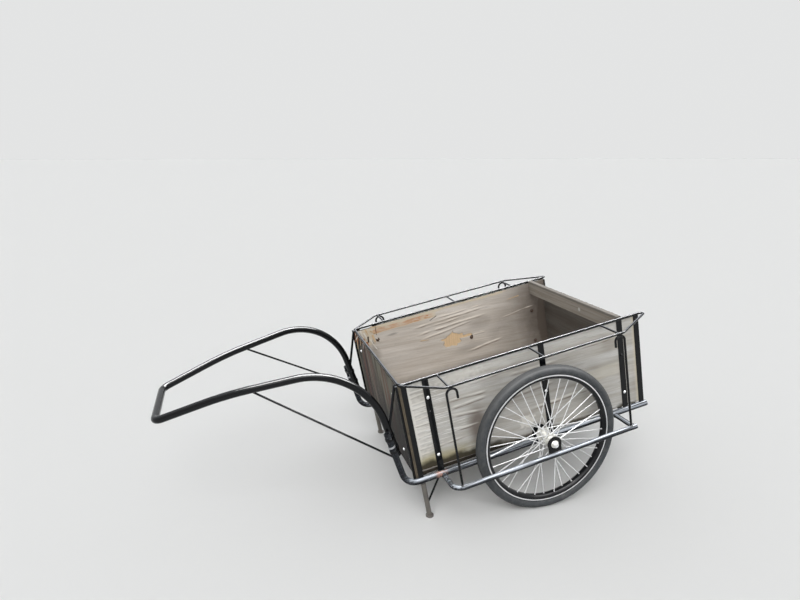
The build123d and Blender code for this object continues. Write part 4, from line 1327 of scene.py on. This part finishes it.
def make_axle_caps():
    """Axle nuts as domed cap nuts on their washers, outside the outer brackets."""
    washer_y = GUARD_Y - 2.0
    finish = zinc_plate("cap_nut_zinc", 0.28, 0.3, 0.6, (1.0, 0.98, 0.92))
    bm = bmesh.new()
    base = Vector((0, washer_y, 0))
    spun(bm, ((0, 0), (16.5, 0), (17, 0.5), (17, 2.2), (16.4, 2.7), (0, 2.7)), base,
         (0, 1, 0), 40, closed=False)
    hex_nut(bm, base + Vector((0, 2.7, 0)), (0, 1, 0), 26, 7.5)
    top = bed_box("axles")[1].y - washer_y
    spun(bm, [(0, 9.6)] + dome(12.4, 9.6, top, 8), base, (0, 1, 0), 40, closed=False)
    both_hands(bm)
    bmesh.ops.remove_doubles(bm, verts=bm.verts, dist=0.005)
    make_piece("axle_cap_nuts", bm, (finish,), replaces=("axle_nuts",), sharp=35)


def weld_ring(bm, centre, axis, ring_radius, bead):
    """A lumpy weld bead round a rod where it meets another."""
    outline = [(ring_radius + bead * cos(2 * pi * k / 6), bead * sin(2 * pi * k / 6))
               for k in range(6)]
    spun(bm, outline, centre, axis, 20)


def weld_run(bm, start, end, bead):
    """A straight weld bead between two points."""
    steps = max(3, int((end - start).length / 3.0))
    path = [start.lerp(end, k / steps) for k in range(steps + 1)]
    radii = [bead * (0.45 if k in (0, steps) else 1.0) for k in range(steps + 1)]
    swept(bm, path, radii, 6)


def make_welds():
    """Weld beads at the rods, posts, brackets, legs and tubes."""
    bead = bpy.context.scene.cart_sizes.weld_radius
    outer_rod = TOP_ROD_RADIUS - 1.0
    up, out = Vector((0, 0, 1)), Vector((0, 1, 0))
    bm = bmesh.new()
    for x in STRUT_XS:
        weld_ring(bm, Vector((x, SIDE_Y + TOP_ROD_RADIUS, TOP_Z)), out, STRUT_RADIUS, bead * 0.8)
        weld_ring(bm, Vector((x, GUARD_Y - outer_rod, TOP_Z)), out, STRUT_RADIUS, bead * 0.8)
    for x in HOOK_XS:
        weld_ring(bm, Vector((x, GUARD_Y, GUARD_Z + GUARD_RADIUS)), up, HOOK_RADIUS, bead)
    for x in GUARD_END_XS:
        weld_ring(bm, Vector((x, SIDE_Y + RAIL_RADIUS - 1.5, GUARD_Z)), out, GUARD_RADIUS, bead)
    weld_ring(bm, Vector((GUARD_END_XS[1], GUARD_Y - GUARD_RADIUS + 1.0, GUARD_Z)), out,
              GUARD_RADIUS, bead)
    weld_ring(bm, Vector((LEG_X, SIDE_Y, RAIL_Z - RAIL_RADIUS + 1.5)), up, LEG_RADIUS, bead)
    rail_top = RAIL_Z + RAIL_RADIUS
    for x in POST_XS:
        half = Vector((POST_WIDTH / 2, 0, 0))
        for z in (rail_top - 0.2, TOP_Z - TOP_ROD_RADIUS):
            middle = Vector((x, POST_OUTER_Y, z))
            weld_run(bm, middle - half, middle + half, bead * 0.75)
    for plate_y, foot_y, foot_z, radius in ((INNER_PLATE_Y, SIDE_Y, RAIL_Z, RAIL_RADIUS),
                                            (OUTER_PLATE_Y, GUARD_Y, GUARD_Z, GUARD_RADIUS)):
        for face in (-PLATE_HALF_THICKNESS, PLATE_HALF_THICKNESS):
            away = plate_y + face - foot_y
            z = foot_z + sqrt(radius ** 2 - away ** 2)
            middle = Vector((0, plate_y + face, z))
            half = Vector((BRACKET_HALF_WIDTH, 0, 0))
            weld_run(bm, middle - half, middle + half, bead)
    both_hands(bm)
    for vert in bm.verts:
        vert.co += Vector((noise.noise(vert.co / 3.1), noise.noise(vert.co / 2.7),
                           noise.noise(vert.co / 2.9))) * bead * 0.3
    make_piece("weld_beads", bm, (weld_metal(),), sharp=80)


def make_clamp_rings():
    """A thin bright hose clamp round each upright, between the two black clamp bands."""
    finish = zinc_plate("clamp_zinc", 0.35, 0.4, 1.0, (0.6, 0.6, 0.62))
    lean = radians(8.0)
    z = 154.0
    x = rail_high.x - RAIL_RADIUS - (rail_high.z - z) * sin(lean) / cos(lean) + 1.5
    axis = Vector((sin(lean), 0, cos(lean)))
    bm = bmesh.new()
    inner, outer = RAIL_RADIUS + 0.2, RAIL_RADIUS + 1.4
    spun(bm, ((inner, -4), (outer, -4), (outer, 4), (inner, 4)), Vector((x, SIDE_Y, z)), axis, 40)
    both_hands(bm)
    make_piece("upright_hose_clamps", bm, (finish,), sharp=40)


PAINTED = (
    "clamp_bands", "corner_posts", "front_stays", "hook_rods_left", "hook_rods_right",
    "side_posts_left", "side_posts_right", "front_posts", "axle_brackets", "shaft_loop",
    "shaft_braces", "leg_braces", "cross_bearers",
)
TOP_RODS = ("front_rods", "outer_rod_left", "outer_rod_right", "rim_rod", "rim_struts")
RUBBED = ("guard_tube_left", "guard_tube_right")
FLAT_BARS = (
    "clamp_bands", "corner_posts", "side_posts_left", "side_posts_right", "front_posts",
    "axle_brackets", "cross_bearers",
)


def dress_frame():
    """Finishes of the CAD nodes of the frame that stay as they are."""
    assign(PAINTED, frame_paint())
    # The rods' tops are drawn pale over a wide band: partly worn paint, partly a painted highlight.
    assign(TOP_RODS, frame_paint("rod_paint", 0.72, 1.02, 0.62))
    assign(RUBBED, worn_steel("rubbed_steel"))
    assign(("guard_stubs",), worn_steel("stub_steel", along=1))
    assign(("stand_legs", "foot_pads"), dull_steel())
    weld_patch = ((476.0, SIDE_Y, RAIL_Z + 4), 36.0)
    assign(("chassis_tube_left", "chassis_tube_right"),
           worn_steel("rail_steel", (weld_patch,)))
    assign(("axles",), zinc_plate("axle_zinc", 0.4, 0.7, 0.4))
    soften(FLAT_BARS)
    soften(("foot_pads",), 1.2, 3)


# Studio


def make_floor():
    """Wide pale floor."""
    bm = bmesh.new()
    bmesh.ops.create_grid(bm, x_segments=1, y_segments=1, size=400.0)
    mesh = bpy.data.meshes.new("studio_floor")
    bm.to_mesh(mesh)
    bm.free()
    floor = put("studio_floor", mesh)
    material = bpy.data.materials.new("studio_floor")
    material.use_nodes = True
    shader = material.node_tree.nodes["Principled BSDF"]
    shader.inputs["Base Color"].default_value = (*chosen("floor"), 1)
    shader.inputs["Roughness"].default_value = 0.9
    shader.inputs["Specular IOR Level"].default_value = 0.0
    mesh.materials.append(material)


def make_world():
    """Soft light from all round, and a pale background where the camera sees past the floor."""
    world = bpy.data.worlds.new("studio_world")
    bpy.context.scene.world = world
    world.use_nodes = True
    nodes, links = world.node_tree.nodes, world.node_tree.links
    nodes.clear()
    light_path = nodes.new("ShaderNodeLightPath")
    seen = light_path.outputs["Is Camera Ray"]
    for ray in ("Is Glossy Ray", "Is Transmission Ray"):
        either = nodes.new("ShaderNodeMath")
        either.operation = "MAXIMUM"
        links.new(seen, either.inputs[0])
        links.new(light_path.outputs[ray], either.inputs[1])
        seen = either.outputs[0]
    choice = nodes.new("ShaderNodeMixShader")
    links.new(seen, choice.inputs[0])
    backgrounds = (
        # input of the choice, colour, strength: soft light first, then what is seen behind
        (1, (0.97, 0.985, 1.0), 0.66),
        (2, (0.772, 0.778, 0.778), 1.0),
    )
    for socket, colour, strength in backgrounds:
        light = nodes.new("ShaderNodeBackground")
        light.inputs["Color"].default_value = (*colour, 1)
        light.inputs["Strength"].default_value = strength
        links.new(light.outputs[0], choice.inputs[socket])
    output = nodes.new("ShaderNodeOutputWorld")
    links.new(choice.outputs[0], output.inputs[0])


def make_lamps():
    """A broad sky lamp, and two lamps that only glossy paint shows."""
    lamps = (
        # name, direction to the lamp, strength, angle in degrees, lights matt surfaces
        ("sky_lamp", (0.30, 0.62, 0.72), 1.45, 40.0, True),
        ("tube_gloss_lamp", (-0.46, -0.10, 0.88), 12.0, 38.0, False),
        ("shaft_gloss_lamp", (0.10, -0.12, 0.98), 24.0, 50.0, False),
    )
    for name, direction, strength, angle, on_matt in lamps:
        light = bpy.data.lights.new(name, "SUN")
        light.energy = strength
        light.angle = radians(angle)
        lamp = put(name, light)
        lamp.rotation_euler = Vector(direction).to_track_quat("Z", "Y").to_euler()
        lamp.visible_diffuse = on_matt


def make_camera():
    """The camera of the reference view."""
    scene = bpy.context.scene
    camera_data = bpy.data.cameras.new("reference_camera")
    camera_data.sensor_width = CAMERA_SENSOR
    camera_data.lens = CAMERA_LENS
    camera = put("reference_camera", camera_data)
    camera.location = BED_TO_ROW.translation + CAMERA_FROM_AXLE
    camera.rotation_euler = CAMERA_LOOKS_ALONG.to_track_quat("-Z", "Y").to_euler()
    scene.camera = camera
    scene.view_settings.view_transform = "Standard"


class CART_OT_frame_finish(bpy.types.Operator):
    """Paint, rub and plate the CAD tubes, rods and bars of the frame"""

    bl_idname = "cart.frame_finish"
    bl_label = "Frame Finish"

    def execute(self, context):
        dress_frame()
        return {"FINISHED"}


class CART_OT_side_boards(bpy.types.Operator):
    """Build the two weathered side boards"""

    bl_idname = "cart.side_boards"
    bl_label = "Side Boards"

    def execute(self, context):
        make_side_boards()
        return {"FINISHED"}


class CART_OT_front_board(bpy.types.Operator):
    """Build the dark front board with its chipped top edge"""

    bl_idname = "cart.front_board"
    bl_label = "Front Board"

    def execute(self, context):
        make_front_board()
        return {"FINISHED"}


class CART_OT_tail_and_floor(bpy.types.Operator):
    """Build the tail board and the floor of the box"""

    bl_idname = "cart.tail_and_floor"
    bl_label = "Tail Board and Floor"

    def execute(self, context):
        make_tail_and_floor()
        return {"FINISHED"}


class CART_OT_plank(bpy.types.Operator):
    """Build the plank across the box"""

    bl_idname = "cart.plank"
    bl_label = "Plank"

    def execute(self, context):
        make_plank()
        return {"FINISHED"}


class CART_OT_splinters(bpy.types.Operator):
    """Build the curled splinters of veneer"""

    bl_idname = "cart.splinters"
    bl_label = "Splinters"

    def execute(self, context):
        make_splinters()
        return {"FINISHED"}


class CART_OT_wheels(bpy.types.Operator):
    """Build the tyres, rims, spokes and hubs of both wheels"""

    bl_idname = "cart.wheels"
    bl_label = "Wheels"

    def execute(self, context):
        make_tyres()
        make_rims()
        make_spokes()
        make_hubs()
        return {"FINISHED"}


class CART_OT_fastenings(bpy.types.Operator):
    """Build the bolts, cap nuts, clamps and weld beads"""

    bl_idname = "cart.fastenings"
    bl_label = "Fastenings"

    def execute(self, context):
        make_bolts()
        make_axle_caps()
        make_welds()
        make_clamp_rings()
        return {"FINISHED"}


class CART_OT_stage(bpy.types.Operator):
    """Set up the floor, the lamps and the camera"""

    bl_idname = "cart.stage"
    bl_label = "Stage"

    def execute(self, context):
        make_floor()
        make_world()
        make_lamps()
        make_camera()
        return {"FINISHED"}


OPERATORS = (
    CART_OT_frame_finish, CART_OT_side_boards, CART_OT_front_board, CART_OT_tail_and_floor,
    CART_OT_plank, CART_OT_splinters, CART_OT_wheels, CART_OT_fastenings, CART_OT_stage,
)


class CART_PT_looks(bpy.types.Panel):
    """The hand cart's steps, sizes and colours"""

    bl_label = "Hand Cart"
    bl_idname = "CART_PT_looks"
    bl_space_type = "VIEW_3D"
    bl_region_type = "UI"
    bl_category = "Hand Cart"

    def draw(self, context):
        for operator in OPERATORS:
            self.layout.operator(operator.bl_idname)
        for group in (context.scene.cart_sizes, context.scene.cart_colours):
            for name in group.__annotations__:
                self.layout.prop(group, name)


CLASSES = (CartSizes, CartColours, *OPERATORS, CART_PT_looks)


def register():
    """Register the classes and hang the cart's settings on the scene."""
    for cls in CLASSES:
        bpy.utils.register_class(cls)
    bpy.types.Scene.cart_sizes = bpy.props.PointerProperty(type=CartSizes)
    bpy.types.Scene.cart_colours = bpy.props.PointerProperty(type=CartColours)


def unregister():
    """Undo what register does."""
    del bpy.types.Scene.cart_colours
    del bpy.types.Scene.cart_sizes
    for cls in reversed(CLASSES):
        bpy.utils.unregister_class(cls)


def main():
    """Build everything."""
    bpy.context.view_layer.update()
    register()
    bpy.ops.cart.frame_finish()
    bpy.ops.cart.side_boards()
    bpy.ops.cart.front_board()
    bpy.ops.cart.tail_and_floor()
    bpy.ops.cart.plank()
    bpy.ops.cart.splinters()
    bpy.ops.cart.wheels()
    bpy.ops.cart.fastenings()
    bpy.ops.cart.stage()


if __name__ == "__main__":
    main()
